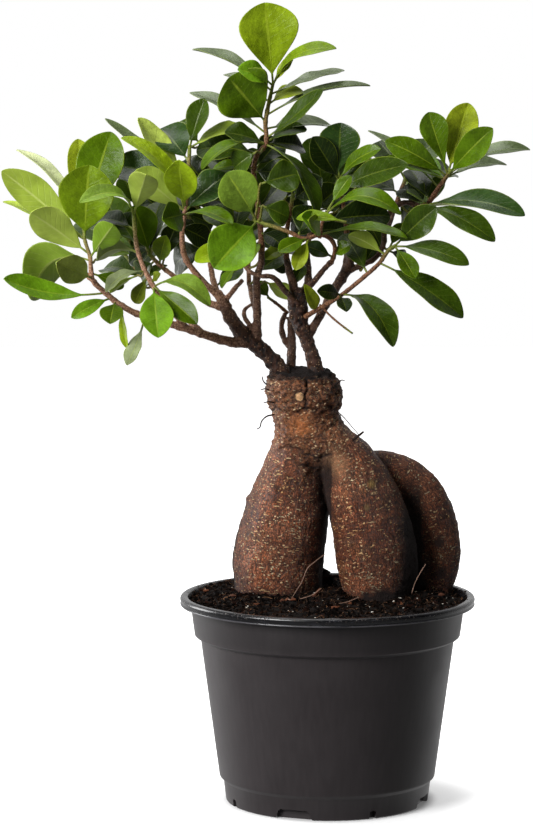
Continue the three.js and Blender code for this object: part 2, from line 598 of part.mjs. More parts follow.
      leaves: [
        [0.3, 99, 298, -18, 15, 50, 0.12, 0.16],
        [0.2, 84, 285, -20, 14, 40, 0.1],
        [0.4, 74, 302.5, 18, 11, 75, 0.03],
        [1, 37, 311.5, 14, 17, 40, 0.08],
        [1.6, 41, 321, 24, 15, 30, 0.05],
        [1.2, 39.6, 310, -8, 8, 72, 0.02],
        [4, 50, 349.8, 2, 14.5, 8, 0.04, 0.1, 0.72],
        [4, 70, 354.4, 14, 17, 6, 0.04],
        [4, 82.5, 341.8, -14, 15, 20, 0.05],
        [4, 101.3, 331, 10, 12, 62, 0.12],
        [3.8, 89.5, 323.5, 20, 13, 68, 0.08],
        [3.6, 46, 327, 18, 11, 50, 0.05],
        [3.6, 28, 326, -4, 12, 55, 0.06],
        [3.9, 28.5, 335.4, 2, 14, 30, 0.08],
        [3, 20, 340.6, 18, 10, 70, 0.05],
      ] },
  ],
  spray_rear_left: [
    { stem: [[-59, 271.6, 19.4, 1.3], [-60, 282, 28, 1.2], [-60, 292, 34, 1.1], [-59, 302, 38, 1]],
      leaves: [
        [3, -87, 309, 56, 20, 35, 0.1],
        [2.8, -74, 325, 48, 20, 20, 0.08],
        [2.6, -51, 327, 56, 20, 30, 0.1],
        [2, -84, 291, 62, 20, 45, 0.12],
        [1.8, -49, 300, 68, 18, 40, 0.12],
        [1, -77, 273, 50, 18, 30, 0.1],
      ] },
  ],
  spray_rear_middle: [
    { stem: [[-39.8, 264.6, 26.5, 1.2], [-40, 276, 36, 1.1], [-39, 288, 44, 1], [-37, 298, 48, 1]],
      leaves: [
        [3, -56, 315, 72, 20, 40, 0.1],
        [2.8, -19, 316, 68, 20, 30, 0.1],
        [2.6, -38, 332, 54, 20, 20, 0.06],
        [2, -29, 298, 84, 20, 50, 0.12],
        [1.6, -18, 283, 58, 19, 40, 0.12],
        [1.3, -58, 287, 56, 19, 35, 0.1],
      ] },
  ],
  spray_rear_right: [
    { stem: [[-10.7, 280, 18.3, 1.3], [-9, 290, 30, 1.2], [-6, 300, 38, 1.1], [-2, 308, 42, 1]],
      leaves: [
        [3, -8, 337, 54, 20, 20, 0.06],
        [2.8, 19, 328, 56, 20, 30, 0.1],
        [2.6, 9, 312, 78, 20, 45, 0.12],
        [2, 18, 303, 56, 19, 35, 0.12],
        [1.8, -25, 306, 76, 19, 40, 0.12],
        [1, 12, 289, 46, 19, 35, 0.1],
      ] },
  ],
  spray_rear_far_left: [
    { stem: [[-80.6, 254.6, 20.6, 1.2], [-92, 266, 28, 1.1], [-102, 278, 34, 1]],
      leaves: [
        [2, -127, 294, 46, 18, 45, 0.1],
        [1.9, -112, 307, 46, 19, 25, 0.08],
        [1.8, -99, 301, 64, 19, 40, 0.12],
        [1.3, -84, 283, 58, 19, 40, 0.1],
        [1, -113, 271, 52, 16, 50, 0.12],
      ] },
  ],
  spray_rear_far_right: [
    { stem: [[33.2, 301.6, 19.4, 1.1], [36, 309, 28, 1.1], [39, 317, 36, 1]],
      leaves: [
        [2, 25, 335, 50, 19, 30, 0.08],
        [1.9, 55, 336, 52, 18, 35, 0.08],
        [1.8, 63, 319, 60, 18, 45, 0.12],
        [1.5, 38, 312, 74, 19, 50, 0.12],
        [1, 19, 315, 44, 16, 40, 0.1],
        [0.7, 40, 292, 46, 18, 35, 0.1],
      ] },
  ],
};

// Colours and finishes

function finish(color, roughness) {
  return new THREE.MeshStandardMaterial({ color, roughness, metalness: 0 });
}

const POT_BLACK = finish('#343134', 0.55);
const PEAT = finish('#33241a', 0.95);
const ROOT_BARK = finish('#6b4432', 0.75);
const CROWN_BARK = finish('#45302a', 0.8);
const LEAF_GREEN = finish('#4a7a1c', 0.4);

// Assembly

function growth(grown) {
  return joined([lobe(LEFT_ROOT, grown), lobe(MIDDLE_ROOT, grown), lobe(NECK_AND_HEAD, grown), rearRoot(grown)]);
}

function wood(limbs, grown = 0) {
  return joined(limbs.map(({ places, sides, steps }) => {
    const thick = places.map(([x, z, y, r]) => [x, z, y, r + grown]);
    return limb(thick, sides, steps, sides > 6 ? 0.05 : 0);
  }));
}

function soilBed(roots) {
  const top = POT_HEIGHT - LIP_HEIGHT - 0.6;
  const wallRadius = (z) => THREE.MathUtils.lerp(
    SKIRT_TOP_RADIUS,
    BODY_TOP_RADIUS,
    (z - FLOOR_THICKNESS) / (COLLAR_FOOT - COLLAR_STEP - FLOOR_THICKNESS),
  ) - WALL - CLEARANCE;
  const profile = [
    [0, FLOOR_THICKNESS + CLEARANCE],
    [wallRadius(FLOOR_THICKNESS), FLOOR_THICKNESS + CLEARANCE],
    [wallRadius(COLLAR_FOOT - COLLAR_STEP), COLLAR_FOOT - COLLAR_STEP],
    [COLLAR_FOOT_RADIUS - WALL - CLEARANCE, COLLAR_FOOT + WALL + CLEARANCE],
    [COLLAR_TOP_RADIUS - WALL - CLEARANCE, top],
    [COLLAR_TOP_RADIUS - WALL, SOIL_AT_WALL],
    [56, SOIL_AT_WALL + 1],
    [34, SOIL_CROWN - 0.4],
    [14, SOIL_CROWN],
    [0, SOIL_CROWN],
  ].map(([r, z]) => new THREE.Vector2(r, z));
  return solidOfGeometry(upright(new THREE.LatheGeometry(profile, SOIL_SIDES))).subtract(roots);
}

const leftWood = wood(LEFT_WOOD);
const centreWood = wood(CENTRE_WOOD);
const rightWood = wood(RIGHT_WOOD);
const sockets = joined([LEFT_WOOD, CENTRE_WOOD, RIGHT_WOOD].map((limbs) => wood(limbs.slice(0, 1), CLEARANCE)));

const bonsai = new THREE.Group();
bonsai.add(meshOf('pot', pot(), POT_BLACK));
bonsai.add(meshOf('soil', soilBed(growth(CLEARANCE)), PEAT));
bonsai.add(meshOf('rootstock', growth(0).subtract(sockets), ROOT_BARK));
bonsai.add(meshOf('branch_left', leftWood, CROWN_BARK));
bonsai.add(meshOf('branch_centre', centreWood, CROWN_BARK));
bonsai.add(meshOf('branch_right', rightWood, CROWN_BARK));
for (const [name, shoots] of Object.entries(SPRAYS)) {
  bonsai.add(meshOf(name, spray(shoots), LEAF_GREEN));
}

export default bonsai;
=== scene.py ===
"""The looks of a ginseng ficus bonsai in a plastic nursery pot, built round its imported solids."""

import functools
import json
import math
import random

import bpy
import numpy as np
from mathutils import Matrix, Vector, noise

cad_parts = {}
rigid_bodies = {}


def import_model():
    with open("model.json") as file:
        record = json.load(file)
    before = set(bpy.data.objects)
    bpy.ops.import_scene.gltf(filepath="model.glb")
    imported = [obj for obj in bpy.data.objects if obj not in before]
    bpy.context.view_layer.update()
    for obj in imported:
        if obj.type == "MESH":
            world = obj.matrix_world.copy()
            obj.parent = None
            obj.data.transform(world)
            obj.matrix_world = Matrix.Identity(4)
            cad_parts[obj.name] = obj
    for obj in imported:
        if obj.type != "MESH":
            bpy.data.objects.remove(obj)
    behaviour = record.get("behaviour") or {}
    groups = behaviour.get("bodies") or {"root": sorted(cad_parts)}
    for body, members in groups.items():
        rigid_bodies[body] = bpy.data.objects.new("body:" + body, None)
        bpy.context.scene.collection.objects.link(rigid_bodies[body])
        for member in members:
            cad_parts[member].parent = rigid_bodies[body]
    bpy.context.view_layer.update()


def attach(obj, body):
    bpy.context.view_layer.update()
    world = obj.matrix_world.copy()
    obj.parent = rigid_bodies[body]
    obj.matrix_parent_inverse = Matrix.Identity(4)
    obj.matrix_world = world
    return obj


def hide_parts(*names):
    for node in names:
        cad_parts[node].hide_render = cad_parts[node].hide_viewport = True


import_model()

# All sizes below are millimetres, with Z up, the origin at the centre of the pot's base and the
# front of the plant towards -Y. A mesh is scaled to metres when it is made.

MM = 0.001

# Pot, soil and camera

RIM_RADIUS = 75
POT_HEIGHT = 105.3
BASE_RADIUS = 51.8
LIP_FOOT = POT_HEIGHT - 4.4
LIP_INNER_RADIUS = 70.8
WALL = 1.6
COLLAR_TOP_RADIUS = 69.6
COLLAR_FOOT_RADIUS = 67.6
COLLAR_FOOT = 85.5
BODY_TOP = COLLAR_FOOT - 1.5
BODY_TOP_RADIUS = 64.6
BODY_FOOT_RADIUS = 55.1
BODY_FOOT = 13.2
SKIRT_TOP_RADIUS = 53
SKIRT_TOP = 11
FLOOR_THICKNESS = 8
NOTCHES = [dict(width=16, mouth=20, height=5, angle=-20), dict(width=3.2, mouth=4, height=4.2, angle=25)]
NOTCH_DEPTH = 3.5
POT_SIDES = 240
CREASE = math.radians(32)
SOIL_AT_WALL = 101.8
SOIL_CROWN = 105.4
SOIL_EDGE = 69.4
SOIL_RISE = 1.9
CLEARANCE = 0.3

EYE = np.array([-31.0, -1500.0, 347.0])
AIM = np.array([-31.0, 0.0, 197.0])
FOCAL_PIXELS = 2977
FRAME_HEIGHT_PIXELS = 831

# Leaves

BLADE_THICKNESS = 0.5
PETIOLE_HALF_WIDTH = 0.55
PETIOLE_THICKNESS = 1.0
BLADE_FOLD = 0.3
PETIOLE_SHARE = 0.12
WIDEST = 0.6
TIP_MARGIN = 1.3
STEM_SIDES = 12
ROOTED = 1.8

# The places of the roots, the wood and the leaves are [x, z, y]: x and z as the camera sees them in
# the plane y = 0, and y as the depth at which they really lie.


def seen(x, z, y):
    reach = (y - EYE[1]) / -EYE[1]
    return np.array([EYE[0] + (x - EYE[0]) * reach, y, EYE[2] + (z - EYE[2]) * reach])


# Roots as ellipses [z, left, right, depth, y]

LEFT_ROOT = [
    [86, -37, -14, 11, 20], [94, -43, -8, 17, 20], [104, -46, -4, 21, 20], [112, -47.5, -2.6, 23, 20],
    [122, -48.2, -2, 24, 20], [133, -46.8, -0.8, 23.5, 20], [144, -43.8, 0.6, 22, 19],
    [155, -40, 0.4, 20, 18], [166, -35.6, -1, 18, 17], [175, -31.2, -2, 16, 16],
    [182.5, -28.2, -4, 14, 15.5], [191, -25.6, -8, 11, 15.5],
]
MIDDLE_ROOT = [
    [86, 18, 34, 8, 7], [93, 13, 38, 12, 7], [100, 10, 41.5, 15, 6], [108, 7.8, 44, 17, 6],
    [118, 5.2, 46, 18.4, 6], [130, 3.4, 45.4, 19, 6], [142, 1.6, 42.6, 18.6, 7], [154, -0.6, 38.4, 17.6, 8],
    [164, -2.4, 33.6, 16.6, 10], [173, -5, 28, 15.6, 12], [182, -10, 21, 14.6, 13],
    [188, -14, 13.4, 13.4, 14], [194.5, -12, 6.8, 10, 15],
]
NECK_AND_HEAD = [
    [164, -22, -6, 8, 17], [172, -29.6, 8, 13, 16.5], [180, -28.2, 14, 15, 16], [187, -27, 12, 15.5, 16],
    [192, -27, 8, 15.4, 16], [197.5, -28.2, 5.8, 15.6, 16], [199.4, -28.2, 5.2, 15.4, 16],
    [201.5, -29.3, 6.2, 16.8, 16], [209, -31.4, 7, 17.6, 16], [215, -30.6, 4.8, 17, 16],
    [219, -29.4, 1.6, 16, 16], [221.2, -27.6, -0.8, 14.4, 16],
]

# Limbs as [x, z, y, radius]: the rear root, the web that fills the cleft before it and is painted dark as
# shade, and the wood of the grafted crown

REAR_ROOT = [
    [4, 166, 21, 9], [16, 168, 24, 10.6], [27, 167.4, 26, 12], [37, 164.3, 27, 12.4], [45.4, 158, 27, 12.4],
    [51.6, 148, 27, 12.1], [55.6, 136, 27, 11.7], [56.6, 125, 26.4, 11.3], [54.8, 114, 24.6, 10.6],
    [49.6, 104, 21, 9.4], [44, 95, 17, 7.6], [41, 88, 15, 5.6],
]
WEB = [
    [38, 150, 22, 6], [43.5, 142, 22, 7], [46, 130, 21, 7.4], [46.5, 118, 19, 7], [45, 106, 17, 6.4],
    [43, 94, 15, 5],
]
LEFT_WOOD = [
    [[-21.5, 215, 14, 4.4], [-25.5, 222, 13.5, 4.4], [-31.5, 228.4, 13, 3.9], [-37.6, 233.8, 12, 4],
     [-43.7, 239.3, 11, 3.8], [-49.4, 247, 10, 3.4], [-53, 254.5, 9, 3], [-56, 259.5, 8.4, 2]],
    [[-40.5, 234, 11, 3], [-49, 234.4, 8, 2.5], [-57.3, 236.6, 4, 2.2], [-68, 240, 0, 2.1],
     [-80, 243.8, -4, 1.9]],
    [[-36, 233, 12, 2.4], [-35.8, 240, 11, 2.3], [-35.7, 256, 9.6, 2], [-36, 266, 8.6, 1.9],
     [-33.8, 274, 7, 1.8], [-33.4, 281, 6.2, 1.7]],
    [[-37, 240, 11, 1.2], [-41.6, 246, 10, 1.2], [-42.2, 250.4, 9.4, 1], [-38.5, 253.4, 9, 0.8]],
    [[-54, 256, 9, 1.6], [-59.4, 261.4, 6.6, 1.6], [-65, 267.3, 4, 1.5]],
    [[-52.6, 251.6, 9, 2], [-60, 254, 12, 1.8], [-67.4, 259.4, 15, 1.5]],
    [[-52, 254.6, 9, 1.4], [-47.6, 260.6, 7, 1.3], [-43, 265.6, 4.4, 1.1]],
    [[-54.6, 256.6, 9, 1.7], [-57.6, 264, 14, 1.6], [-58.8, 271, 19, 1.4]],
    [[-35.8, 248, 10.4, 1.6], [-38, 256, 18, 1.4], [-39.6, 264, 26, 1.3]],
    [[-71, 241, -1, 1.7], [-74.4, 245, -3.6, 1.6], [-77.6, 248.6, -5.6, 1.5]],
    [[-64, 239.4, 1.4, 1.6], [-72, 246.4, 10, 1.4], [-80, 254, 20, 1.3]],
]
CENTRE_WOOD = [
    [[-18.6, 216, 20, 2.5], [-18.7, 223, 20.4, 2.4], [-18.2, 232, 22, 2.3], [-18.6, 240, 23, 2],
     [-19, 247, 24, 1.6]],
    [[-18.4, 230.6, 22, 1.6], [-22.4, 236.4, 23, 1.5], [-23.4, 243, 24, 1.4], [-21.4, 249, 25, 1.1]],
]
RIGHT_WOOD = [
    [[-5.6, 215, 13, 4.6], [-6.4, 222, 13, 4], [-8.8, 230, 12.6, 3.3], [-11.4, 237, 12, 3.4],
     [-14, 243.4, 11.6, 4.2], [-15, 250, 11.4, 5], [-15.6, 256.6, 11.4, 4.6], [-15.2, 262, 11.6, 3.2]],
    [[-16, 258, 11, 2.6], [-18, 265, 10, 2.2], [-19.8, 271, 9.6, 1.9], [-20.8, 276.6, 9.4, 1.5]],
    [[-13.6, 256, 12, 2.6], [-10.4, 263, 12.6, 2.1], [-10, 271, 15, 1.7], [-10.6, 279.4, 18, 1.4]],
    [[-11, 260.6, 12, 1.8], [-7, 265, 9, 1.5], [-2.6, 270.4, 4.6, 1.4], [1.6, 275, 0.4, 1.3]],
    [[-10, 238, 12.4, 2.6], [-6.6, 243, 12.4, 2.2], [-1.4, 252.5, 12.6, 2.1], [4.6, 263, 12.8, 2.3],
     [9.4, 270.6, 13, 2.7]],
    [[7.6, 268, 13, 1.6], [8.6, 274, 14.4, 1.4], [9.6, 279.4, 15.6, 1.3]],
    [[9, 269, 13, 2.3], [11, 275, 13, 2.2], [11.6, 280.6, 12.6, 2]],
    [[9, 269.6, 13, 1.8], [16, 272.8, 12.4, 1.5], [23.4, 276.4, 11, 1.4], [28, 284, 10, 1.4],
     [28.4, 293, 9, 1.5], [32, 301, 8, 1.4], [39, 304.6, 6, 1.4], [46, 302.8, 4, 1.5]],
    [[-16, 254, 8.6, 1.6], [-22.3, 261, 5, 1.4], [-28, 267.2, 1, 1.3], [-34.3, 267.8, -0.6, 1.2],
     [-39.8, 270.2, -0.6, 1.1], [-42.6, 274, 0, 1.1]],
    [[28.6, 289, 9.6, 1.3], [31.4, 295, 14, 1.2], [33, 301, 19, 1.1]],
]

# The leafy shoots of each spray, as a stem like a limb and its leaves. A leaf is [tone, at, x, z, y,
# width, face, arch, petiole, widest]. at counts along the stem's points, x, z and y place the tip,
# face turns the upper side from the front (0) over upwards (90) to the back (180), and arch is the
# rise of the midrib over its chord.

SPRAYS = {
    "crown": [
        ([[-33.4, 281.6, 6, 1.5], [-34.5, 297, 6, 1.4], [-36, 308, 6, 1.4], [-37.5, 320, 5, 1.3],
          [-36, 328, 3, 1.2], [-31.3, 334, 1, 1.2], [-31.5, 345, 1, 1.1], [-29.5, 356, 1, 1],
          [-27.5, 365, 1, 0.8]],
         [["A", 8, -32, 404.3, -2, 30, 10, 0.03, 0.1, 0.66], ["M", 7.9, 4, 381.5, -14, 11, 62, 0.2],
          ["Y", 8, -17.5, 377, -4, 6, 40, 0.05], ["B", 7.8, -45.5, 371, -10, 13, 40, 0.1],
          ["W", 7.5, -68, 381, 14, 15, 68, 0.08], ["W", 7.3, 8, 370.6, 16, 13, 74, 0.03],
          ["W", 6.3, 21, 363, 10, 12, 78, 0.08], ["G", 6, -50, 367, -8, 31, 6, 0.05, 0.08, 0.66],
          ["Y", 6.8, -13, 360.5, 10, 11, 50, 0.1], ["W", 6.9, -52, 368.5, 22, 13, 65, 0.05],
          ["W", 5.5, -69.5, 359.5, 14, 14, 62, 0.06], ["D", 5.3, -2.6, 360.8, -8, 12, 50, -0.03],
          ["W", 5.7, 1, 343.4, 26, 17, 62, 0.04], ["D", 5.1, -11, 341.5, 8, 11, 50, 0.12],
          ["D", 5, -52, 339.5, -4, 15, 48, 0.06], ["G", 5, -63.5, 321, -18, 13, 70, 0.16],
          ["D", 5, -6, 297, -16, 14, 65, 0.15], ["K", 5, -12.7, 332, 16, 17, 50, 0.06],
          ["D", 4.2, -66, 331, 14, 18, 40, 0.08], ["K", 3, -16.5, 318, -6, 15, 25, 0.08],
          ["D", 1.6, -22, 293, -8, 14, 20, 0.06], ["G", 3.2, -58, 320.5, -4, 9, 60, 0.1],
          ["O", 1.8, -50, 303, 2, 11, 25, 0.08], ["K", 0.5, -21.5, 281.5, -6, 12, 35, 0.1],
          ["U", 0.15, -40.5, 274.5, -5, 9, 40, 0.2]]),
    ],
    "upper_left": [
        ([[-65.3, 267.6, 3.8, 1.5], [-72, 277, 1, 1.4], [-73.5, 288.5, -2, 1.3], [-72, 300, -3, 1.2],
          [-70.8, 312, -2, 1.1], [-70, 325, 2, 1], [-69.5, 333, 4, 0.9]],
         [["L", 4.2, -95.4, 347, 6, 15, 55, -0.02], ["W", 4.4, -112, 346.6, 12, 9, 60, -0.03],
          ["A", 3, -104, 337, -8, 14, 60, 0.17], ["A", 3.2, -75, 326, -26, 17, -12, 0.04],
          ["S", 5, -84, 341.5, 16, 21, 25, 0.08], ["S", 4, -108.5, 323, 10, 20, 30, 0.1],
          ["D", 6, -61.8, 356.6, 4, 12, 20, 0.05], ["P", 6, -42.8, 342.6, 10, 13, 62, 0.05],
          ["L", 3, -97, 320.5, -12, 16, 172, 0.05], ["S", 3, -50.5, 318.6, -8, 17, 30, 0.08],
          ["G", 2.9, -83.5, 296, -22, 16, 8, 0.05], ["G", 2.9, -48, 293.5, -24, 12, 62, 0.12]]),
    ],
    "left_twig": [
        ([[-77.9, 249, -5.8, 1.4], [-82.7, 255, -8, 1.4], [-88, 262.5, -9, 1.3], [-92.5, 271, -9, 1.2],
          [-96, 281, -9, 1.1], [-97.3, 291, -9, 1], [-97.8, 300, -9, 0.9]],
         [["L", 6, -91.5, 318.6, -38, 15, 175, 0.05], ["U", 6, -125, 304.5, -39, 12, 65, 0.24],
          ["B", 2, -85.7, 236.5, -32, 17, 5, 0.04], ["G", 2, -66, 243.5, -24, 12, 20, 0.05],
          ["U", 2, -59.5, 252.6, -26, 13, 55, 0.24], ["O", 2.2, -84.5, 269, -12, 6, 50, 0.05],
          ["O", 2.6, -97.4, 254, -2, 8, 15, 0.05], ["H", 2.9, -112, 259.5, -16, 10, 60, 0.16],
          ["H", 3.9, -116.5, 275.6, -14, 15, 128, 0.22], ["K", 5, -116.5, 294.5, 12, 15, 55, 0.12],
          ["D", 4.2, -106, 298, 6, 15, 15, 0.05], ["G", 3.8, -109.5, 286, 2, 8, 10, 0.05]]),
    ],
    "left_low": [
        ([[-80.4, 243.9, -4.1, 1.8], [-95, 248, -7, 1.6], [-105, 253.3, -9, 1.5], [-112, 259, -10, 1.4],
          [-118.5, 265.5, -11, 1.3], [-119.5, 271, -11, 1.2], [-119.8, 277, -11, 1],
          [-122.5, 286, -11, 0.9], [-123, 294, -8, 0.8]],
         [["P", 7, -164, 320.5, -4, 17.5, 170, 0.05], ["L", 6.2, -149.5, 299.6, -24, 17.5, 172, 0.05],
          ["B", 6, -108, 293.5, -26, 14, 172, 0.05], ["M", 7, -120, 323.5, -18, 28, 4, 0.05, 0.1],
          ["G", 8, -109, 340, 4, 24, 10, 0.04], ["Y", 8, -125.6, 336.4, 12, 15, 20, 0.05],
          ["F", 8, -156.5, 331, 16, 11, 62, 0.1], ["P", 7, -163.5, 305, 20, 11, 70, 0.03],
          ["U", 5.8, -150, 256, -10, 26, 146, 0.5], ["L", 4.2, -137, 274.6, -38, 15, 5, 0.04],
          ["B", 3, -163.5, 266.3, -28, 15, 50, -0.1, 0.2], ["B", 2.6, -129.5, 246.5, -18, 8, 20, 0.1],
          ["G", 2.3, -110, 243.5, -24, 12, 10, 0.05], ["A", 1.9, -101.4, 231, -6, 6, -45, 0.03],
          ["H", 0.8, -101.6, 222.5, -12, 9, 35, -0.05, 0.25]]),
        ([[-118.5, 265.5, -11, 1.3], [-122, 268.6, -10.4, 1.3], [-126, 272.6, -10, 1.2]], []),
    ],
    "left_inner": [
        ([[-67.8, 260.7, 15.2, 1.3], [-79, 268.6, 16, 1.2], [-85, 273.4, 15, 1.1], [-90.4, 279, 15, 1]],
         [["M", 2, -81.5, 288, 4, 10, 15, 0.05], ["G", 3, -98, 303, 18, 18, 20, 0.06],
          ["D", 2.4, -94, 266.5, 26, 15, 30, 0.1], ["D", 3, -84, 305, 30, 17, 30, 0.08]]),
    ],
    "middle": [
        ([[2, 275.5, 0, 1.2], [3.6, 281, -4, 1.1], [1.5, 286, -8, 1.1], [-4, 288.5, -12, 1.1],
          [-12, 286.5, -14, 1], [-20, 290, -14, 1], [-29, 293, -12, 1], [-37, 295.5, -10, 0.9]],
         [["M", 3, -10, 295.6, -38, 10, 50, 0.05], ["B", 3.3, -13.5, 297.5, -32, 11, 60, 0.1],
          ["G", 3, 40, 286.5, -24, 11, 68, 0.1], ["S", 0.3, -11.8, 282.8, -8, 9, 30, 0.05],
          ["G", 0.4, 11.5, 283, -8, 8, 40, 0.1], ["G", 3.8, -25, 280, -24, 9, 30, 0.05],
          ["Y", 3.7, -16.5, 270.5, -20, 8, 10, 0.05], ["K", 4.4, -9, 303, -4, 14, 15, 0.05],
          ["U", 7, -51, 319.6, -18, 21, 10, 0.1, 0.2], ["B", 7, -57.5, 271.5, -34, 25, 5, 0.06]]),
        ([[-4, 288.5, -12, 1], [-3, 294, -13, 0.9], [-0.5, 300.5, -13, 0.8]],
         [["G", 2, 11.5, 318, -16, 8, 30, 0.05, 0.3], ["G", 2, 36.6, 298.5, -26, 14, 60, 0.27],
          ["K", 1.2, 31, 298, 4, 18, 30, 0.05]]),
    ],
    "cross": [
        ([[-42.9, 274.5, 0, 1.1], [-45.5, 281, 1, 1.1], [-47.5, 288, 2, 1]],
         [["G", 0.2, -53.6, 261.5, -8, 8, 60, 0.05], ["A", 1.4, -67, 275, -6, 11, 30, 0.06],
          ["D", 2, -60, 302, 14, 16, 30, 0.08], ["D", 2, -43, 305, 18, 14, 20, 0.06]]),
    ],
    "centre": [
        ([[-20.9, 277.2, 9.4, 1.4], [-21, 288, 8, 1.2], [-19, 300, 8, 1.1], [-17.5, 309, 8, 1]],
         [["O", 0.3, -31.5, 276, -2, 8, 40, 0.15], ["G", 3, -9, 318, 2, 10, 20, 0.06],
          ["K", 2.6, -3, 317, -3, 14, 15, 0.05], ["K", 1.8, -8.5, 290, -2, 13, 12, 0.06],
          ["D", 3, -24, 328, 14, 14, 20, 0.06]]),
    ],
    "centre_low": [
        ([[-21.5, 250, 25.2, 0.9], [-26, 253.8, 22, 0.8], [-30.4, 257, 19, 0.7]],
         [["G", 2, -36, 264.8, 16, 7, 25, 0.06]]),
    ],
    "upper_middle": [
        ([[9.7, 280, 15.8, 1.3], [9.3, 290, 15, 1.2], [8, 301, 13, 1.1], [6, 311, 11, 1],
          [5.3, 316.5, 10, 0.9]],
         [["S", 4, 6.2, 344.6, 4, 21, 8, 0.05, 0.15, 0.68], ["K", 4, -8, 337.5, 0, 14, 12, 0.05],
          ["G", 4, 26.5, 331.5, -6, 11, 55, 0.12], ["D", 4, 28, 322, 8, 13, 40, 0.08],
          ["D", 3, 40.3, 323.5, -28, 14, 30, 0.08, 0.1]]),
    ],
    "right_low": [
        ([[-10.3, 247.8, 7.5, 1.2], [0.8, 254.2, 2, 1.2], [7.4, 258.5, -2, 1.1], [18.3, 267.3, -6, 1.1],
          [26, 274.3, -10, 1], [30.5, 280.5, -12, 1], [34, 283, -13, 0.9]],
         [["D", 2, 33, 231.8, -30, 15.5, 45, 0.2, 0.1], ["K", 1.9, -5.5, 260, -14, 8, 20, 0.1],
          ["K", 1.8, 9.4, 249.6, -12, 8, 20, 0.1], ["D", 3.2, 8, 288.6, 12, 14, 15, 0.06],
          ["P", 4.6, 10.5, 288.4, -18, 10, 150, 0.1], ["D", 4, 68.2, 246.5, -18, 17, 40, 0.06, 0.15],
          ["D", 6, 71, 273.3, -24, 13, 42, 0.1], ["G", 6, 44, 266.3, -26, 10, 20, 0.05],
          ["D", 6, 54.7, 302.4, -28, 15, 20, 0.05], ["K", 5, 38.5, 275, 2, 8, 30, 0.1],
          ["Y", 0.4, -12, 263.5, -3, 7, 20, 0.05, 0.05, 0.35]]),
        ([[-3, 252, 4, 0.6], [1.4, 247.4, 1, 0.55], [6.6, 243, -1, 0.5], [12.5, 238.6, -3, 0.5]], []),
    ],
    "right_top": [
        ([[46.6, 302.7, 3.8, 1.3], [49.4, 303.4, 3.6, 1.3], [52, 306.5, 4, 1.3], [55.5, 312, 5, 1.2],
          [60, 318.5, 5, 1.1], [61.5, 321.5, 5, 1]],
         [["S", 0.3, 99, 298, -18, 15, 50, 0.12, 0.16], ["D", 0.2, 84, 285, -20, 14, 40, 0.1],
          ["F", 0.4, 74, 302.5, 18, 11, 75, 0.03], ["K", 1, 37, 311.5, 14, 17, 40, 0.08],
          ["K", 1.6, 41, 321, 24, 15, 30, 0.05], ["G", 1.2, 39.6, 310, -8, 8, 72, 0.02],
          ["G", 4, 50, 349.8, 2, 14.5, 8, 0.04, 0.1, 0.72], ["Y", 4, 70, 354.4, 14, 17, 6, 0.04],
          ["G", 4, 82.5, 341.8, -14, 15, 20, 0.05], ["W", 4, 101.3, 331, 10, 12, 62, 0.12],
          ["W", 3.8, 89.5, 323.5, 20, 13, 68, 0.08], ["B", 3.6, 46, 327, 18, 11, 50, 0.05],
          ["G", 3.6, 28, 326, -4, 12, 55, 0.06], ["G", 3.9, 28.5, 335.4, 2, 14, 30, 0.08],
          ["W", 3, 20, 340.6, 18, 10, 70, 0.05]]),
    ],
    "rear_left": [
        ([[-59, 271.6, 19.4, 1.3], [-60, 282, 28, 1.2], [-60, 292, 34, 1.1], [-59, 302, 38, 1]],
         [["D", 3, -87, 309, 56, 20, 35, 0.1], ["D", 2.8, -74, 325, 48, 20, 20, 0.08],
          ["D", 2.6, -51, 327, 56, 20, 30, 0.1], ["D", 2, -84, 291, 62, 20, 45, 0.12],
          ["D", 1.8, -49, 300, 68, 18, 40, 0.12], ["D", 1, -77, 273, 50, 18, 30, 0.1]]),
    ],
    "rear_middle": [
        ([[-39.8, 264.6, 26.5, 1.2], [-40, 276, 36, 1.1], [-39, 288, 44, 1], [-37, 298, 48, 1]],
         [["D", 3, -56, 315, 72, 20, 40, 0.1], ["D", 2.8, -19, 316, 68, 20, 30, 0.1],
          ["D", 2.6, -38, 332, 54, 20, 20, 0.06], ["D", 2, -29, 298, 84, 20, 50, 0.12],
          ["D", 1.6, -18, 283, 58, 19, 40, 0.12], ["D", 1.3, -58, 287, 56, 19, 35, 0.1]]),
    ],
    "rear_right": [
        ([[-10.7, 280, 18.3, 1.3], [-9, 290, 30, 1.2], [-6, 300, 38, 1.1], [-2, 308, 42, 1]],
         [["D", 3, -8, 337, 54, 20, 20, 0.06], ["D", 2.8, 19, 328, 56, 20, 30, 0.1],
          ["D", 2.6, 9, 312, 78, 20, 45, 0.12], ["D", 2, 18, 303, 56, 19, 35, 0.12],
          ["D", 1.8, -25, 306, 76, 19, 40, 0.12], ["D", 1, 12, 289, 46, 19, 35, 0.1]]),
    ],
    "rear_far_left": [
        ([[-80.6, 254.6, 20.6, 1.2], [-92, 266, 28, 1.1], [-102, 278, 34, 1]],
         [["D", 2, -127, 294, 46, 18, 45, 0.1], ["D", 1.9, -112, 307, 46, 19, 25, 0.08],
          ["D", 1.8, -99, 301, 64, 19, 40, 0.12], ["D", 1.3, -84, 283, 58, 19, 40, 0.1],
          ["D", 1, -113, 271, 52, 16, 50, 0.12]]),
    ],
    "rear_far_right": [
        ([[33.2, 301.6, 19.4, 1.1], [36, 309, 28, 1.1], [39, 317, 36, 1]],
         [["D", 2, 25, 335, 50, 19, 30, 0.08], ["D", 1.9, 55, 336, 52, 18, 35, 0.08],
          ["D", 1.8, 63, 319, 60, 18, 45, 0.12], ["D", 1.5, 38, 312, 74, 19, 50, 0.12],
          ["D", 1, 19, 315, 44, 16, 40, 0.1], ["D", 0.7, 40, 292, 46, 18, 35, 0.1]]),
    ],
}

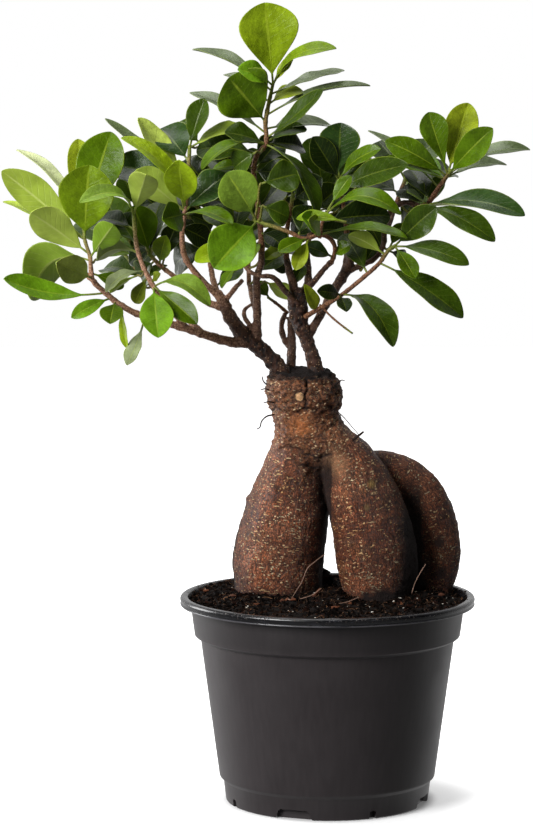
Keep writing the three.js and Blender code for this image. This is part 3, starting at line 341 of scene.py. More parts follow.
# Small leaves in the middle of the crown, each on a twig of its own from the nearest wood, as
# [tone, foot x and z, tip x and z, y, width, face]

INNER_LEAVES = [
    ["D", -97, 302, -103, 318, 26, 13, 20], ["K", -76, 293, -60, 285, 26, 13, 25],
    ["D", -83, 275, -76, 294, 24, 11, 15], ["G", -94, 264, -81, 273, 18, 8, 60],
    ["G", -119, 269, -103, 262, 10, 9, 30], ["U", -117, 276, -100, 279, 8, 7, 60],
    ["U", -96, 268, -110, 259, 4, 7, 120], ["D", -57, 262, -43, 272, 20, 10, 30],
    ["K", -68, 304, -49, 306, 30, 12, 25], ["D", -72, 299, -58, 293, 32, 12, 30],
    ["D", -36, 269, -22, 279, 24, 12, 25], ["K", -33, 277, -20, 271, 30, 10, 25],
    ["P", -32, 265, -19, 256, 16, 11, 140], ["D", -19, 261, -12, 273, 14, 7, 20],
    ["D", 28, 279, 21, 293, 22, 10, 20], ["G", 31, 282, 38, 294, 14, 8, 20],
    ["D", 17, 271, 24, 283, 16, 8, 20], ["D", 50, 302, 57, 318, 16, 8, 15],
    ["K", -46, 320, -56, 334, 40, 16, 15], ["K", -60, 312, -72, 326, 44, 16, 15],
    ["K", -36, 322, -24, 336, 34, 16, 20], ["K", -22, 306, -10, 322, 34, 16, 15],
    ["K", -26, 294, -12, 304, 40, 16, 20], ["K", -40, 296, -52, 308, 44, 16, 20],
    ["D", -8, 300, 6, 312, 30, 15, 20], ["K", 4, 300, 18, 312, 34, 15, 25],
    ["D", 14, 312, 28, 320, 30, 14, 30], ["K", 20, 300, 10, 290, 34, 13, 40],
    ["D", -60, 290, -74, 300, 44, 15, 30], ["K", -84, 300, -96, 310, 40, 14, 25],
    ["D", -46, 284, -34, 292, 40, 14, 30], ["K", -20, 284, -6, 292, 36, 13, 30],
    ["D", 40, 300, 50, 310, 34, 13, 40], ["D", 44, 312, 56, 322, 36, 14, 20],
    ["D", -100, 286, -112, 292, 30, 13, 30], ["K", -88, 282, -100, 274, 30, 12, 40],
    ["D", -64, 334, -76, 344, 34, 13, 25], ["D", -44, 334, -56, 342, 32, 13, 30],
    ["D", -34, 314, -15, 319, -16, 17, 12], ["M", 9, 295, -16, 296.5, -24, 8, 50],
    ["D", -36, 330, -47, 322, -12, 13, 20], ["D", -33, 303, -20, 297, -12, 13, 20],
]

# Curves and closed meshes


def unit(vector):
    return vector / np.linalg.norm(vector)


def circle(sides):
    """Cosine and sine at even steps round a circle."""
    return [(math.cos(2 * math.pi * j / sides), math.sin(2 * math.pi * j / sides)) for j in range(sides)]


class Path:
    """A centripetal Catmull-Rom curve through points, with t from 0 to 1 along them."""

    def __init__(self, points):
        self.points = [np.array(p, float) for p in points]

    def at(self, t):
        points = self.points
        along = min(max(t, 0), 1) * (len(points) - 1)
        k = min(int(along), len(points) - 2)
        w = along - k
        p1, p2 = points[k], points[k + 1]
        p0 = points[k - 1] if k > 0 else 2 * p1 - p2
        p3 = points[k + 2] if k + 2 < len(points) else 2 * p2 - p1
        d0, d1, d2 = [max(np.linalg.norm(step) ** 0.5, 1e-4) for step in (p1 - p0, p2 - p1, p3 - p2)]
        t1 = ((p1 - p0) / d0 - (p2 - p0) / (d0 + d1) + (p2 - p1) / d1) * d1
        t2 = ((p2 - p1) / d1 - (p3 - p1) / (d1 + d2) + (p3 - p2) / d2) * d1
        c2 = -3 * p1 + 3 * p2 - 2 * t1 - t2
        c3 = 2 * p1 - 2 * p2 + t1 + t2
        return p1 + t1 * w + c2 * w * w + c3 * w ** 3

    def samples(self, count):
        return np.array([self.at(i / (count - 1)) for i in range(count)])

    def length(self):
        return float(np.linalg.norm(np.diff(self.samples(201), axis=0), axis=1).sum())


def frames(points):
    """Normals and binormals carried along a line of points without twist."""
    tangents = np.gradient(points, axis=0)
    tangents /= np.linalg.norm(tangents, axis=1, keepdims=True)
    normals = []
    normal = np.array([0.0, -1.0, 0.0])
    for tangent in tangents:
        normal = unit(normal - tangent * normal.dot(tangent))
        normals.append(normal)
    return np.array(normals), np.cross(tangents, normals)


def keep(mesh, name, values):
    """Store a colour (four numbers) or a vector (three) at each vertex."""
    kind, field = ("FLOAT_COLOR", "color") if values.shape[1] == 4 else ("FLOAT_VECTOR", "vector")
    mesh.attributes.new(name, kind, "POINT").data.foreach_set(field, values.ravel())


class Form:
    """Vertices, faces and what they carry, gathered from many small bodies into one mesh."""

    def __init__(self):
        self.vertices, self.faces, self.slots, self.uvs, self.tints = [], [], [], [], []
        self.count = 0

    def add(self, vertices, faces, slot=0, uvs=None, tint=(0, 0, 0, 0)):
        n = len(vertices)
        self.vertices.append(np.asarray(vertices, float))
        self.faces.extend(tuple(i + self.count for i in face) for face in faces)
        self.slots.extend([slot] * len(faces) if isinstance(slot, int) else slot)
        self.uvs.append(np.zeros((n, 2)) if uvs is None else np.asarray(uvs, float))
        self.tints.append(np.broadcast_to(np.asarray(tint, float), (n, 4)))
        self.count += n

    def mesh(self, name, materials, smooth=True):
        mesh = bpy.data.meshes.new(name)
        mesh.from_pydata((np.concatenate(self.vertices) * MM).tolist(), [], self.faces)
        for material in materials:
            mesh.materials.append(material)
        mesh.polygons.foreach_set("material_index", self.slots)
        mesh.polygons.foreach_set("use_smooth", [smooth] * len(self.faces))
        corners = np.zeros(len(mesh.loops), dtype=np.int32)
        mesh.loops.foreach_get("vertex_index", corners)
        layer = mesh.uv_layers.new(name="place")
        layer.data.foreach_set("uv", np.concatenate(self.uvs)[corners].ravel())
        keep(mesh, "tint", np.concatenate(self.tints))
        mesh.update()
        return mesh


def linked(name, data):
    made = bpy.data.objects.new(name, data)
    bpy.context.scene.collection.objects.link(made)
    return made


def settled(holder, *tools):
    """The holder's mesh with its modifiers applied; the holder and its tools are removed."""
    graph = bpy.context.evaluated_depsgraph_get()
    mesh = bpy.data.meshes.new_from_object(holder.evaluated_get(graph))
    for thing in (holder, *tools):
        bpy.data.objects.remove(thing)
    return mesh


def piece(name, mesh, slot, *nodes):
    made = linked(name, mesh)
    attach(made, "root")
    if nodes:
        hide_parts(*nodes)


def ring_faces(rings, sides):
    """Faces of a closed limb, ring by ring and at both ends."""
    faces = []
    for i in range(rings - 1):
        for j in range(sides):
            k = (j + 1) % sides
            faces.append((i * sides + j, i * sides + k, (i + 1) * sides + k, (i + 1) * sides + j))
    return faces + [tuple(reversed(range(sides))), tuple((rings - 1) * sides + j for j in range(sides))]


def tube(places, sides, steps, grain=0.0, seed=0, scars=0.0, rooted=0.0):
    """A round limb through [x, z, y, radius] points, with the grain and scars of its bark."""
    line = [seen(x, z, y) for x, z, y, _ in places]
    line[0] = line[0] + unit(line[0] - line[1]) * rooted
    count = (len(places) - 1) * steps + 1
    centres = Path(line).samples(count)
    radii = np.interp(np.linspace(0, len(places) - 1, count), range(len(places)), [p[3] for p in places])
    normals, binormals = frames(centres)
    draw = random.Random(seed)
    next_scar = draw.uniform(2, 5)
    gone = 0.0
    vertices = []
    for i, centre in enumerate(centres):
        if i:
            gone += float(np.linalg.norm(centre - centres[i - 1]))
        swell = 1.0 + scars * math.exp(-((gone - next_scar) / 0.5) ** 2)
        if gone > next_scar + 1.2:
            next_scar = gone + draw.uniform(3, 7)
        for cosine, sine in circle(sides):
            out = normals[i] * cosine + binormals[i] * sine
            bark = noise.noise(Vector((centre + out * radii[i]) * 0.5 + seed))
            vertices.append(centre + out * (radii[i] * swell + grain * radii[i] * bark))
    return np.array(vertices), ring_faces(count, sides), count


def strand(points, radius, sides=4, steps=4, taper=0.5):
    """A thin thread through points."""
    centres = Path(points).samples((len(points) - 1) * steps + 1)
    normals, binormals = frames(centres)
    vertices = []
    for i, centre in enumerate(centres):
        r = radius * (1 - (1 - taper) * i / (len(centres) - 1))
        for cosine, sine in circle(sides):
            vertices.append(centre + (normals[i] * cosine + binormals[i] * sine) * r)
    return np.array(vertices), ring_faces(len(centres), sides)


def lobe(rows, spacing=1.4, sides=56):
    """One swollen root from its ellipses."""
    rows = Path(rows).samples(int((rows[-1][0] - rows[0][0]) / spacing))
    vertices = []
    for z, left, right, depth, y in rows:
        for cosine, sine in circle(sides):
            place = seen((left + right) / 2 + (right - left) / 2 * cosine, z, y)
            place[1] += depth * sine
            vertices.append(place)
    return np.array(vertices), ring_faces(len(rows), sides)


def fused(name, bodies, voxel, smoothing):
    """One skin round bodies that overlap, as a new mesh in metres."""
    form = Form()
    for vertices, faces in bodies:
        form.add(vertices, faces)
    holder = linked(name, form.mesh(name, []))
    remesh = holder.modifiers.new("skin", "REMESH")
    remesh.mode = "VOXEL"
    remesh.voxel_size = voxel * MM
    remesh.use_smooth_shade = True
    smooth = holder.modifiers.new("smooth", "SMOOTH")
    smooth.factor = 0.5
    smooth.iterations = smoothing
    mesh = settled(holder)
    mesh.name = name
    return mesh


def vectors(items, field):
    """One field of three numbers of all vertices or normals."""
    values = np.zeros(len(items) * 3)
    items.foreach_get(field, values)
    return values.reshape(-1, 3)


def set_points(mesh, points):
    mesh.vertices.foreach_set("co", (points * MM).ravel())
    mesh.update()


def seen_from(points):
    """x and z of points as the camera sees them in the plane y = 0."""
    reach = (points[:, 1] - EYE[1]) / -EYE[1]
    return EYE[0] + (points[:, 0] - EYE[0]) / reach, EYE[2] + (points[:, 2] - EYE[2]) / reach


POINTS_AT_ONCE = 20000


def nearest(points, line, score):
    """The nearest row of [x, y, z, radius] for each point, and its score from distance and radius."""
    rows, scores = [], []
    for part in np.array_split(points, len(points) // POINTS_AT_ONCE + 1):
        gaps = score(np.linalg.norm(part[:, None, :] - line[None, :, :3], axis=2), line[None, :, 3])
        rows.append(gaps.argmin(axis=1))
        scores.append(gaps.min(axis=1))
    return np.concatenate(rows), np.concatenate(scores)


def rough(points, size, octaves=3, seed=0.0):
    """Noise from -1 to 1 at each point, with features of the given size."""
    return np.array([noise.fractal(Vector(point), 0.6, 2.1, octaves, noise_basis="PERLIN_ORIGINAL")
                     for point in points / size + seed])


def smooth_step(low, high, values):
    t = np.clip((values - low) / (high - low), 0, 1)
    return t * t * (3 - 2 * t)


def band(values, start, full, last, end):
    """1 from full to last, fading to 0 at start and end."""
    return smooth_step(start, full, values) * smooth_step(end, last, values)


# Node trees


def colour(text):
    parts = [int(text[i:i + 2], 16) / 255 for i in (1, 3, 5)]
    return [c / 12.92 if c <= 0.04045 else ((c + 0.055) / 1.055) ** 2.4 for c in parts] + [1.0]


class Wire:
    """A value in a node tree, with arithmetic."""

    def __init__(self, paint, output):
        self.paint = paint
        self.output = output

    def maths(self, operation, *others):
        return self.paint.node("Math", inputs=dict(enumerate((self, *others))), operation=operation)

    def __rsub__(self, other):
        return (self * -1) + other

    def ramp(self, low, high, start=0.0, end=1.0):
        limits = {"Value": self, "From Min": low, "From Max": high, "To Min": start, "To Max": end}
        return self.paint.node("MapRange", inputs=limits, interpolation_type="SMOOTHSTEP")

    __add__ = __radd__ = functools.partialmethod(maths, "ADD")
    __mul__ = __rmul__ = functools.partialmethod(maths, "MULTIPLY")
    __sub__ = functools.partialmethod(maths, "SUBTRACT")
    __pow__ = functools.partialmethod(maths, "POWER")
    size = functools.partialmethod(maths, "ABSOLUTE")
    fraction = functools.partialmethod(maths, "FRACT")
    above = functools.partialmethod(maths, "GREATER_THAN")
    least = functools.partialmethod(maths, "MINIMUM")
    most = functools.partialmethod(maths, "MAXIMUM")


class Tree:
    """A node tree that grows by one method. An input is a wire, a number or a colour such as #ffffff."""

    def __init__(self, tree):
        self.tree = tree

    def node(self, kind, output=0, inputs=None, **settings):
        prefixed = kind.startswith(("Geometry", "Function", "Node"))
        made = self.tree.nodes.new(kind if prefixed else "ShaderNode" + kind)
        for key, value in settings.items():
            setattr(made, key, value)
        for key, value in (inputs or {}).items():
            socket = made.inputs[key]
            if isinstance(value, Wire):
                self.tree.links.new(value.output, socket)
            elif isinstance(value, str) and value.startswith("#"):
                socket.default_value = colour(value)[:len(socket.default_value)]
            else:
                socket.default_value = value
        return Wire(self, made.outputs[output]) if len(made.outputs) else None


class Paint(Tree):
    """One material's node tree."""

    def __init__(self, name):
        self.material = bpy.data.materials.new(name)
        self.material.use_nodes = True
        super().__init__(self.material.node_tree)
        self.tree.nodes.clear()
        self.place = self.node("TexCoord", "Object")

    def scaled(self, vector, by):
        return self.node("VectorMath", inputs={0: vector, 1: by}, operation="MULTIPLY")

    def moved(self, vector, by):
        return self.node("VectorMath", inputs={0: vector, 1: by}, operation="ADD")

    def axis(self, vector, name):
        return self.node("SeparateXYZ", name, inputs={0: vector})

    def attribute(self, name, output="Color"):
        return self.node("Attribute", output, attribute_name=name, attribute_type="GEOMETRY")

    def noise(self, size, detail=3.0, roughness=0.55, at=None, stretch=None, output="Fac"):
        at = at or self.place
        inputs = {"Vector": self.scaled(at, stretch) if stretch else at, "Scale": 1000 / size,
                  "Detail": detail, "Roughness": roughness}
        return self.node("TexNoise", output, inputs)

    def lenticels(self, at, stretch, size, radius, share):
        """Small pale marks, one in a share of the cells."""
        cells = {"Vector": self.scaled(at, stretch), "Scale": 1000 / size}
        kept = self.axis(self.node("TexVoronoi", "Color", cells), "X").above(1 - share)
        return self.node("TexVoronoi", "Distance", cells).ramp(radius * 1.15, radius * 0.75) * kept

    def mix(self, factor, low, high):
        return self.node("Mix", 2, inputs={0: factor, 6: low, 7: high}, data_type="RGBA")

    def over(self, base, *layers):
        """A colour under layers of (factor, colour)."""
        for factor, tint in layers:
            base = self.mix(factor, base, tint)
        return base

    def shade(self, tint, *factors):
        """A colour times each of the factors."""
        for factor in factors:
            tint = self.node("VectorMath", inputs={0: tint, "Scale": factor}, operation="SCALE")
        return tint

    def bumps(self, *layers):
        """A normal from layers of (height, distance, strength)."""
        below = {}
        for height, distance, strength in layers:
            inputs = {"Height": height, "Distance": distance * MM, "Strength": strength, **below}
            below = {"Normal": self.node("Bump", inputs=inputs)}
        return below["Normal"]

    def surface(self, base, roughness, normal, **constants):
        inputs = {key.replace("_", " "): value for key, value in constants.items()}
        inputs.update({"Base Color": base, "Roughness": roughness, "Normal": normal})
        self.node("OutputMaterial", inputs={0: self.node("BsdfPrincipled", inputs=inputs)})
        return self.material


# Materials


def pot_plastic():
    paint = Paint("pot plastic")
    height = paint.axis(paint.place, "Z") * 1000
    cloud = paint.noise(26)
    fine = paint.noise(0.5)
    streak = paint.noise(2.2, stretch=(1, 1, 0.12))
    lip = height.ramp(LIP_FOOT - 0.2, LIP_FOOT + 0.6)
    rolled = paint.noise(0.9, stretch=(0.15, 0.15, 1))
    # A broken grey band at the foot of the lip is a painted highlight line.
    lip_foot_highlight = height.ramp(LIP_FOOT + 1.0, LIP_FOOT + 0.3) * lip * cloud.ramp(0.35, 0.6)
    body = paint.mix(cloud, "#251f21", "#2d2729")
    body = paint.mix((streak - 0.5) * 0.5 + 0.2, body, "#443e3f")
    # Above the collar foot the body is painted darker: painted shade under the lip.
    body = paint.shade(body, height.ramp(COLLAR_FOOT - 0.8, COLLAR_FOOT + 3, 1.0, 0.72))
    # The lip is painted near black with lighter streaks: a painted reflection with painted streak highlights.
    lip_painted_reflection = paint.mix(rolled.ramp(0.5, 0.72), "#0e0d10", "#26272d")
    dusty = paint.noise(1.3, 5, 0.7).ramp(0.56, 0.68) * height.ramp(POT_HEIGHT - 3.4, POT_HEIGHT - 0.4)
    low_dust = paint.noise(0.9, 4, 0.7).ramp(0.7, 0.76) * 0.5
    dust = (dusty * 0.75 + low_dust * 0.35).least(1)
    base = paint.over(body, (lip, lip_painted_reflection), (lip_foot_highlight * 0.6, "#77757a"), (dust, "#5d4c40"))
    roughness = cloud.ramp(0.3, 0.7, 0.4, 0.48) + dust * 0.3 - lip * 0.2
    rings = paint.noise(1.4, 2, stretch=(0.05, 0.05, 1))
    normal = paint.bumps((paint.noise(0.35, 2), 0.02, 0.5), (rings, 0.05, 0.35), (fine * dust, 0.3, 0.6))
    return paint.surface(base, roughness, normal, Specular_IOR_Level=0.7)


def peat():
    paint = Paint("peat")
    grain = paint.noise(1.6, 6, 0.7)
    base = paint.mix(grain.ramp(0.35, 0.7), "#050302", "#1a100b")
    base = paint.mix(paint.noise(7).ramp(0.5, 0.75), base, "#120b07")
    return paint.surface(base, 0.95, paint.bumps((grain, 1.2, 1.0)), Specular_IOR_Level=0.2)


def tinted(name, roughness, size, depth, gloss=0.3):
    """A rough material whose colour is the mesh's own tint."""
    paint = Paint(name)
    grain = paint.noise(size, 4, 0.65)
    base = paint.shade(paint.attribute("tint"), grain.ramp(0.2, 0.8, 0.6, 1.4))
    return paint.surface(base, roughness, paint.bumps((grain, depth, 0.8)), Specular_IOR_Level=gloss)


# Pale marks of the root bark, as shift, weight, stretch, size, radius and share of the cells
ROOT_MARKS = [
    ((0, 0, 0), 1, (0.8, 0.8, 1.3), 2.2, 0.22, 0.5),
    ((0.3, 0.1, 0.2), 0.9, (0.8, 0.8, 1.2), 1.3, 0.25, 0.34),
    ((0.7, 0.5, 0.1), 1, (0.24, 0.24, 2.0), 2.9, 0.14, 0.8),
    ((0.2, 0.9, 0.4), 0.9, (0.36, 0.36, 2.1), 2.9, 0.14, 0.75),
]

# Round scars on the front of the rootstock, and one broad soft pale patch on the middle root's top that is a
# painted highlight, as place, radius, softness, rim, strength, colour
SCARS = [
    ((-14.2, 206.6, -1), 2.2, 0.3, 0.8, 1, "#ffc890"), ((22.4, 162, -6), 1.6, 1.6, 0.3, 1, "#a5833f"),
    # The broad soft patch at 3.5, 172 is a painted highlight, not a scar.
    ((3.5, 172, -2), 6, 4.5, 0.3, 0.45, "#d8a070"), ((20, 150, -10), 1.2, 1.4, 0.3, 1, "#8f7040"),
    ((56.5, 132.4, 18), 2.6, 1.0, 0.3, 1, "#3a2012"), ((57.5, 117, 18), 2.2, 1.4, 0.3, 1, "#341c10"),
]


def root_bark():
    paint = Paint("root bark")
    place = paint.place
    straight = paint.attribute("straight", "Vector")
    dark, orange, head = [paint.axis(paint.attribute("marks", "Vector"), name) for name in "XYZ"]
    tone = paint.noise(19, 4, 0.6)
    crust = paint.noise(1.6, 6, 0.8)
    pores = paint.noise(0.85, 4, 0.85)
    rust = paint.noise(10, 5, 0.65, paint.moved(place, (3, 1, 2)))
    olive = paint.noise(14, 4, 0.6, paint.moved(place, (5, 2, 7)))
    wrinkle = paint.noise(1.5, 6, 0.75, straight, (1, 1, 0.3))
    rings = paint.noise(1.7, 4, 0.65, straight, (0.12, 0.12, 1))
    warped = paint.moved(straight, paint.scaled(paint.noise(2.4, output="Color"), (0.0014, 0.0014, 0.0016)))
    cells = {"Vector": paint.scaled(warped, (1, 1, 0.45)), "Scale": 1000 / 0.95}
    furrow = paint.node("TexVoronoi", "Distance", cells, feature="DISTANCE_TO_EDGE").ramp(0.0, 0.24)
    gentle = paint.moved(straight, paint.scaled(paint.noise(6, 2, output="Color"), (0.001, 0.001, 0.003)))
    marks = [paint.lenticels(paint.moved(gentle, shift), *spots) * weight
             for shift, weight, *spots in ROOT_MARKS]
    marks = functools.reduce(lambda a, b: a.most(b), marks) * pores.ramp(0.3, 0.45, 0.6, 1.0)
    flecks = paint.lenticels(paint.moved(gentle, (0.1, 0.6, 0.8)), (0.6, 0.6, 1.5), 1.5, 0.27, 0.6) * head
    base = paint.over(
        paint.mix(tone.ramp(0.32, 0.68), "#73391d", "#ab6641"), (rust.ramp(0.5, 0.72) * 0.6, "#94502c"),
        (olive.ramp(0.54, 0.74) * 0.42, "#86693f"), (orange, "#ee9a54"))
    base = paint.shade(
        base, wrinkle.ramp(0.36, 0.64, 0.5, 1.42), furrow.ramp(0.0, 1.0, 0.36, 1.2),
        rings.ramp(0.36, 0.62, 0.68, 1.22), pores.ramp(0.36, 0.64, 0.36, 1.6))
    base = paint.over(
        base, (marks.least(1), paint.mix(tone.ramp(0.35, 0.65), "#ffca86", "#ffecbe")),
        (head * 0.75, paint.mix(crust.ramp(0.42, 0.58), "#140905", "#ac6d42")), (flecks, "#ffe0ae"),
        (orange * 0.8, paint.shade("#cc7b44", crust.ramp(0.38, 0.6, 0.5, 1.35))))
    # Round scars, and the broad soft patch that paints a highlight on the middle root's top.
    for (x, z, y), size, soft, rim, strength, tint in SCARS:
        offset = paint.scaled(paint.moved(place, [v * -MM for v in seen(x, z, y)]), (1, 0.35, 1))
        reach = paint.node("VectorMath", 1, inputs={0: offset}, operation="LENGTH") * 1000 + (crust - 0.5) * 3
        base = paint.over(
            base, (reach.ramp(size + soft + 1.2, size + soft) * rim, "#241008"),
            (reach.ramp(size + soft, size - soft) * strength,
             paint.shade(tint, crust.ramp(0.4, 0.6, 0.65, 1.2))))
    # The first field of marks is mostly painted shade between and under the roots, in creases and on the
    # sides turned from the light, with some darker bark.
    base = paint.mix(dark, base, "#170704")
    roughness = tone.ramp(0.3, 0.7, 0.4, 0.54) + marks * 0.15 + dark * 0.4
    normal = paint.bumps((wrinkle + furrow * 0.5, 0.7, 0.9), (rings, 0.35, 0.7), (pores, 0.24, 0.6),
                         (marks, 0.4, 0.8), (crust * head, 0.9, 0.9))
    return paint.surface(base, roughness, normal, Specular_IOR_Level=0.5)


def speckled(paint, base, sizes, shares, strength, pale, dark):
    """Pale dots and dark specks on bark."""
    dots = paint.lenticels(paint.place, (1, 1, 1.2), sizes[0], *shares[0])
    specks = paint.lenticels(paint.moved(paint.place, (0.4, 0.2, 0.6)), (1, 1, 1), sizes[1], *shares[1])
    return paint.over(base, (dots * strength, pale), (specks * strength, dark))


def wood_bark():
    paint = Paint("wood bark")
    youth_in_painted_light = paint.axis(paint.attribute("tint"), "X")
    furrow = paint.noise(1.7, 6, 0.75, stretch=(1, 1, 0.45))
    fine = paint.noise(0.9, 5, 0.7)
    old = paint.mix(furrow.ramp(0.38, 0.62), "#0a0504", "#4c2c1d")
    fresh = paint.mix(fine.ramp(0.36, 0.64), "#6a3f2d", "#d9a888")
    # Young wood is paler; towards the right it keeps the dark old colour as painted shade.
    base = paint.over(old, (paint.noise(5).ramp(0.54, 0.7) * 0.45, "#8a6248"), (youth_in_painted_light, fresh))
    base = speckled(paint, base, (1.3, 1.5), ((0.24, 0.5), (0.22, 0.4)), 0.7, "#d0a780", "#1e0f0b")
    normal = paint.bumps((furrow, 1.0, 0.9), (fine, 0.3, 0.8))
    return paint.surface(base, 0.55, normal, Specular_IOR_Level=0.4)


def shoot_bark():
    """Brown at the foot of a shoot, paler far out on the left, and green near its tip."""
    paint = Paint("shoot bark")
    green = paint.axis(paint.attribute("tint"), "X")
    outer = paint.axis(paint.place, "X").ramp(-0.045, -0.09)
    fine = paint.noise(0.8, 5, 0.7)
    grain = fine.ramp(0.36, 0.64)
    base = paint.over(
        paint.mix(grain, "#40231a", "#a67553"), (outer * 0.85, paint.mix(grain, "#744a3a", "#dcac8e")),
        (green, paint.mix(fine.ramp(0.3, 0.7), "#55641a", "#8d9a3c")))
    base = speckled(paint, base, (1.1, 1.3), ((0.22, 0.4), (0.22, 0.35)), 0.6, "#d2ac84", "#2a150e")
    return paint.surface(base, 0.6, paint.bumps((fine, 0.3, 0.9)), Specular_IOR_Level=0.25)


def leaf_veins(paint):
    """Distance from the midrib, place along it, and how strongly a side vein runs there."""
    place = paint.node("UVMap", uv_map="place")
    across = (paint.axis(place, "X") * 2 - 1).size()
    along = paint.axis(place, "Y")
    phase = (along - across * 0.2) * 10.5 + paint.noise(5, 2) * 0.5
    line = (phase.fraction() - 0.5).size()
    return across, along, line.ramp(0.1, 0.0) * across.ramp(0.98, 0.75) * along.ramp(0.0, 0.06)


def leaf_upper():
    paint = Paint("leaf upper")
    across, along, vein = leaf_veins(paint)
    tint = paint.attribute("tint")
    gloss = paint.attribute("tint", "Alpha")
    cloud = paint.noise(8, 4)
    quilt = paint.noise(1.1)
    light = paint.mix(0.5, tint, "#b3c43e")
    rib = across.ramp(0.07, 0.015) * along.ramp(1.0, 0.75)
    speck = paint.lenticels(paint.place, (1, 1, 1), 2.4, 0.1, 0.25)
    base = paint.shade(tint, cloud.ramp(0.25, 0.75, 0.72, 1.26), across.ramp(0.0, 0.9, 0.9, 1.06),
                       quilt.ramp(0.3, 0.7, 0.9, 1.1))
    # The pale band along the margin is a painted highlight.
    base = paint.over(
        base, (vein * 0.1, light), (rib * gloss.ramp(0.62, 0.65, 0.72, 0.3), light),
        (across.ramp(0.91, 0.98) * 0.5, light), (along.ramp(0.02, -0.05), "#7f8a3c"), (speck * 0.4, light))
    roughness = gloss.ramp(0.0, 1.0, 0.46, 0.24) + cloud.ramp(0.3, 0.7, -0.03, 0.06)
    ridges = vein * -1 + quilt * 0.25
    normal = paint.bumps((ridges, 0.1, 0.6), (rib * -1, 0.2, 0.5), (paint.noise(3.4), 0.9, 0.6))
    return paint.surface(base, roughness, normal, Specular_IOR_Level=0.12,
                         Coat_Weight=gloss.ramp(0.45, 0.95, 0.06, 0.5), Coat_Roughness=0.22)


def leaf_under():
    paint = Paint("leaf under")
    across, along, vein = leaf_veins(paint)
    pale = paint.mix(0.4, paint.attribute("tint"), "#93a83c")
    light = paint.mix(0.6, pale, "#c9d37c")
    rib = across.ramp(0.09, 0.025) * along.ramp(1.05, 0.8)
    base = paint.over(
        paint.shade(pale, paint.noise(8).ramp(0.25, 0.75, 0.84, 1.14)), (vein * 0.22, light),
        (rib * 0.85, light), (across.ramp(0.94, 0.99) * 0.4, light), (along.ramp(0.02, -0.05), "#8a9444"))
    normal = paint.bumps((vein + paint.noise(0.8) * 0.4, 0.14, 0.5))
    return paint.surface(base, 0.52, normal, Specular_IOR_Level=0.22)


def floor_white():
    """White ground that keeps a soft shadow near the pot and glows to plain white further out; right round
    the foot its glow drops, a painted contact shadow.
    """
    paint = Paint("floor white")
    flat = paint.scaled(paint.place, (1, 1, 0))
    reach = paint.node("VectorMath", 1, inputs={0: flat}, operation="LENGTH")
    # Close round the foot the glow falls to a fifth: a painted contact shadow.
    glow = reach.ramp(0.06, 0.095, FLOOR_GLOW, 1.0) * reach.ramp(0.05, 0.058, 0.2, 1.0)
    shader = paint.node("BsdfPrincipled", inputs={
        "Base Color": paint.mix(paint.noise(40, 2, at=flat), "#e9e9e9", "#ececec"), "Roughness": 0.9,
        "Specular IOR Level": 0.0, "Emission Strength": 1.0, "Emission Color": paint.shade("#ffffff", glow),
    })
    paint.node("OutputMaterial", inputs={0: shader})
    return paint.material


# The pot


def arc(x, z, radius, start, end, steps):
    turns = [math.radians(start + (end - start) * i / steps) for i in range(steps + 1)]
    return [(x + radius * math.cos(t), z + radius * math.sin(t)) for t in turns]


# The outline of the shell from the middle of its base, up the outside and down the inside
POT_PROFILE = [
    (0, 0), (BASE_RADIUS - 1, 0), *arc(BASE_RADIUS - 1, 1, 1, -90, 0, 4),
    (SKIRT_TOP_RADIUS, SKIRT_TOP - 0.3), (SKIRT_TOP_RADIUS + 0.3, SKIRT_TOP + 0.2),
    (BODY_FOOT_RADIUS - 0.2, BODY_FOOT - 0.5), (BODY_FOOT_RADIUS, BODY_FOOT),
    (BODY_FOOT_RADIUS + 0.12, BODY_FOOT + 0.9), (BODY_TOP_RADIUS, BODY_TOP - 0.4),
    (BODY_TOP_RADIUS + 0.5, BODY_TOP), (COLLAR_FOOT_RADIUS - 0.5, COLLAR_FOOT - 0.5),
    (COLLAR_FOOT_RADIUS, COLLAR_FOOT), (COLLAR_FOOT_RADIUS + 0.1, COLLAR_FOOT + 0.6),
    (COLLAR_TOP_RADIUS, LIP_FOOT - 0.6), (RIM_RADIUS - 1.4, LIP_FOOT),
    *arc(RIM_RADIUS - 0.5, LIP_FOOT + 0.45, 0.45, -90, 70, 6), (RIM_RADIUS - 0.55, LIP_FOOT + 1.1),
    *arc(RIM_RADIUS - 1.6, POT_HEIGHT - 1.6, 1.6, 0, 90, 6),
    *arc(LIP_INNER_RADIUS + 1.3, POT_HEIGHT - 1.3, 1.3, 90, 180, 5),
    (COLLAR_TOP_RADIUS - WALL, LIP_FOOT - 0.6), (COLLAR_FOOT_RADIUS - WALL, COLLAR_FOOT + WALL),
    (BODY_TOP_RADIUS - WALL, BODY_TOP), (SKIRT_TOP_RADIUS - WALL, FLOOR_THICKNESS), (0, FLOOR_THICKNESS),
]


def lathed(profile, sides):
    """A turned body; a point on the axis closes it."""
    vertices, faces, rows = [], [], []
    for r, z in profile:
        start = len(vertices)
        rows.append([start] * sides if r == 0 else range(start, start + sides))
        vertices += [(0, 0, z)] if r == 0 else [(r * cosine, r * sine, z) for cosine, sine in circle(sides)]
    for a, b in zip(rows, rows[1:]):
        for j in range(sides):
            k = (j + 1) % sides
            faces.append(tuple(dict.fromkeys((a[j], a[k], b[k], b[j]))))
    return np.array(vertices), faces


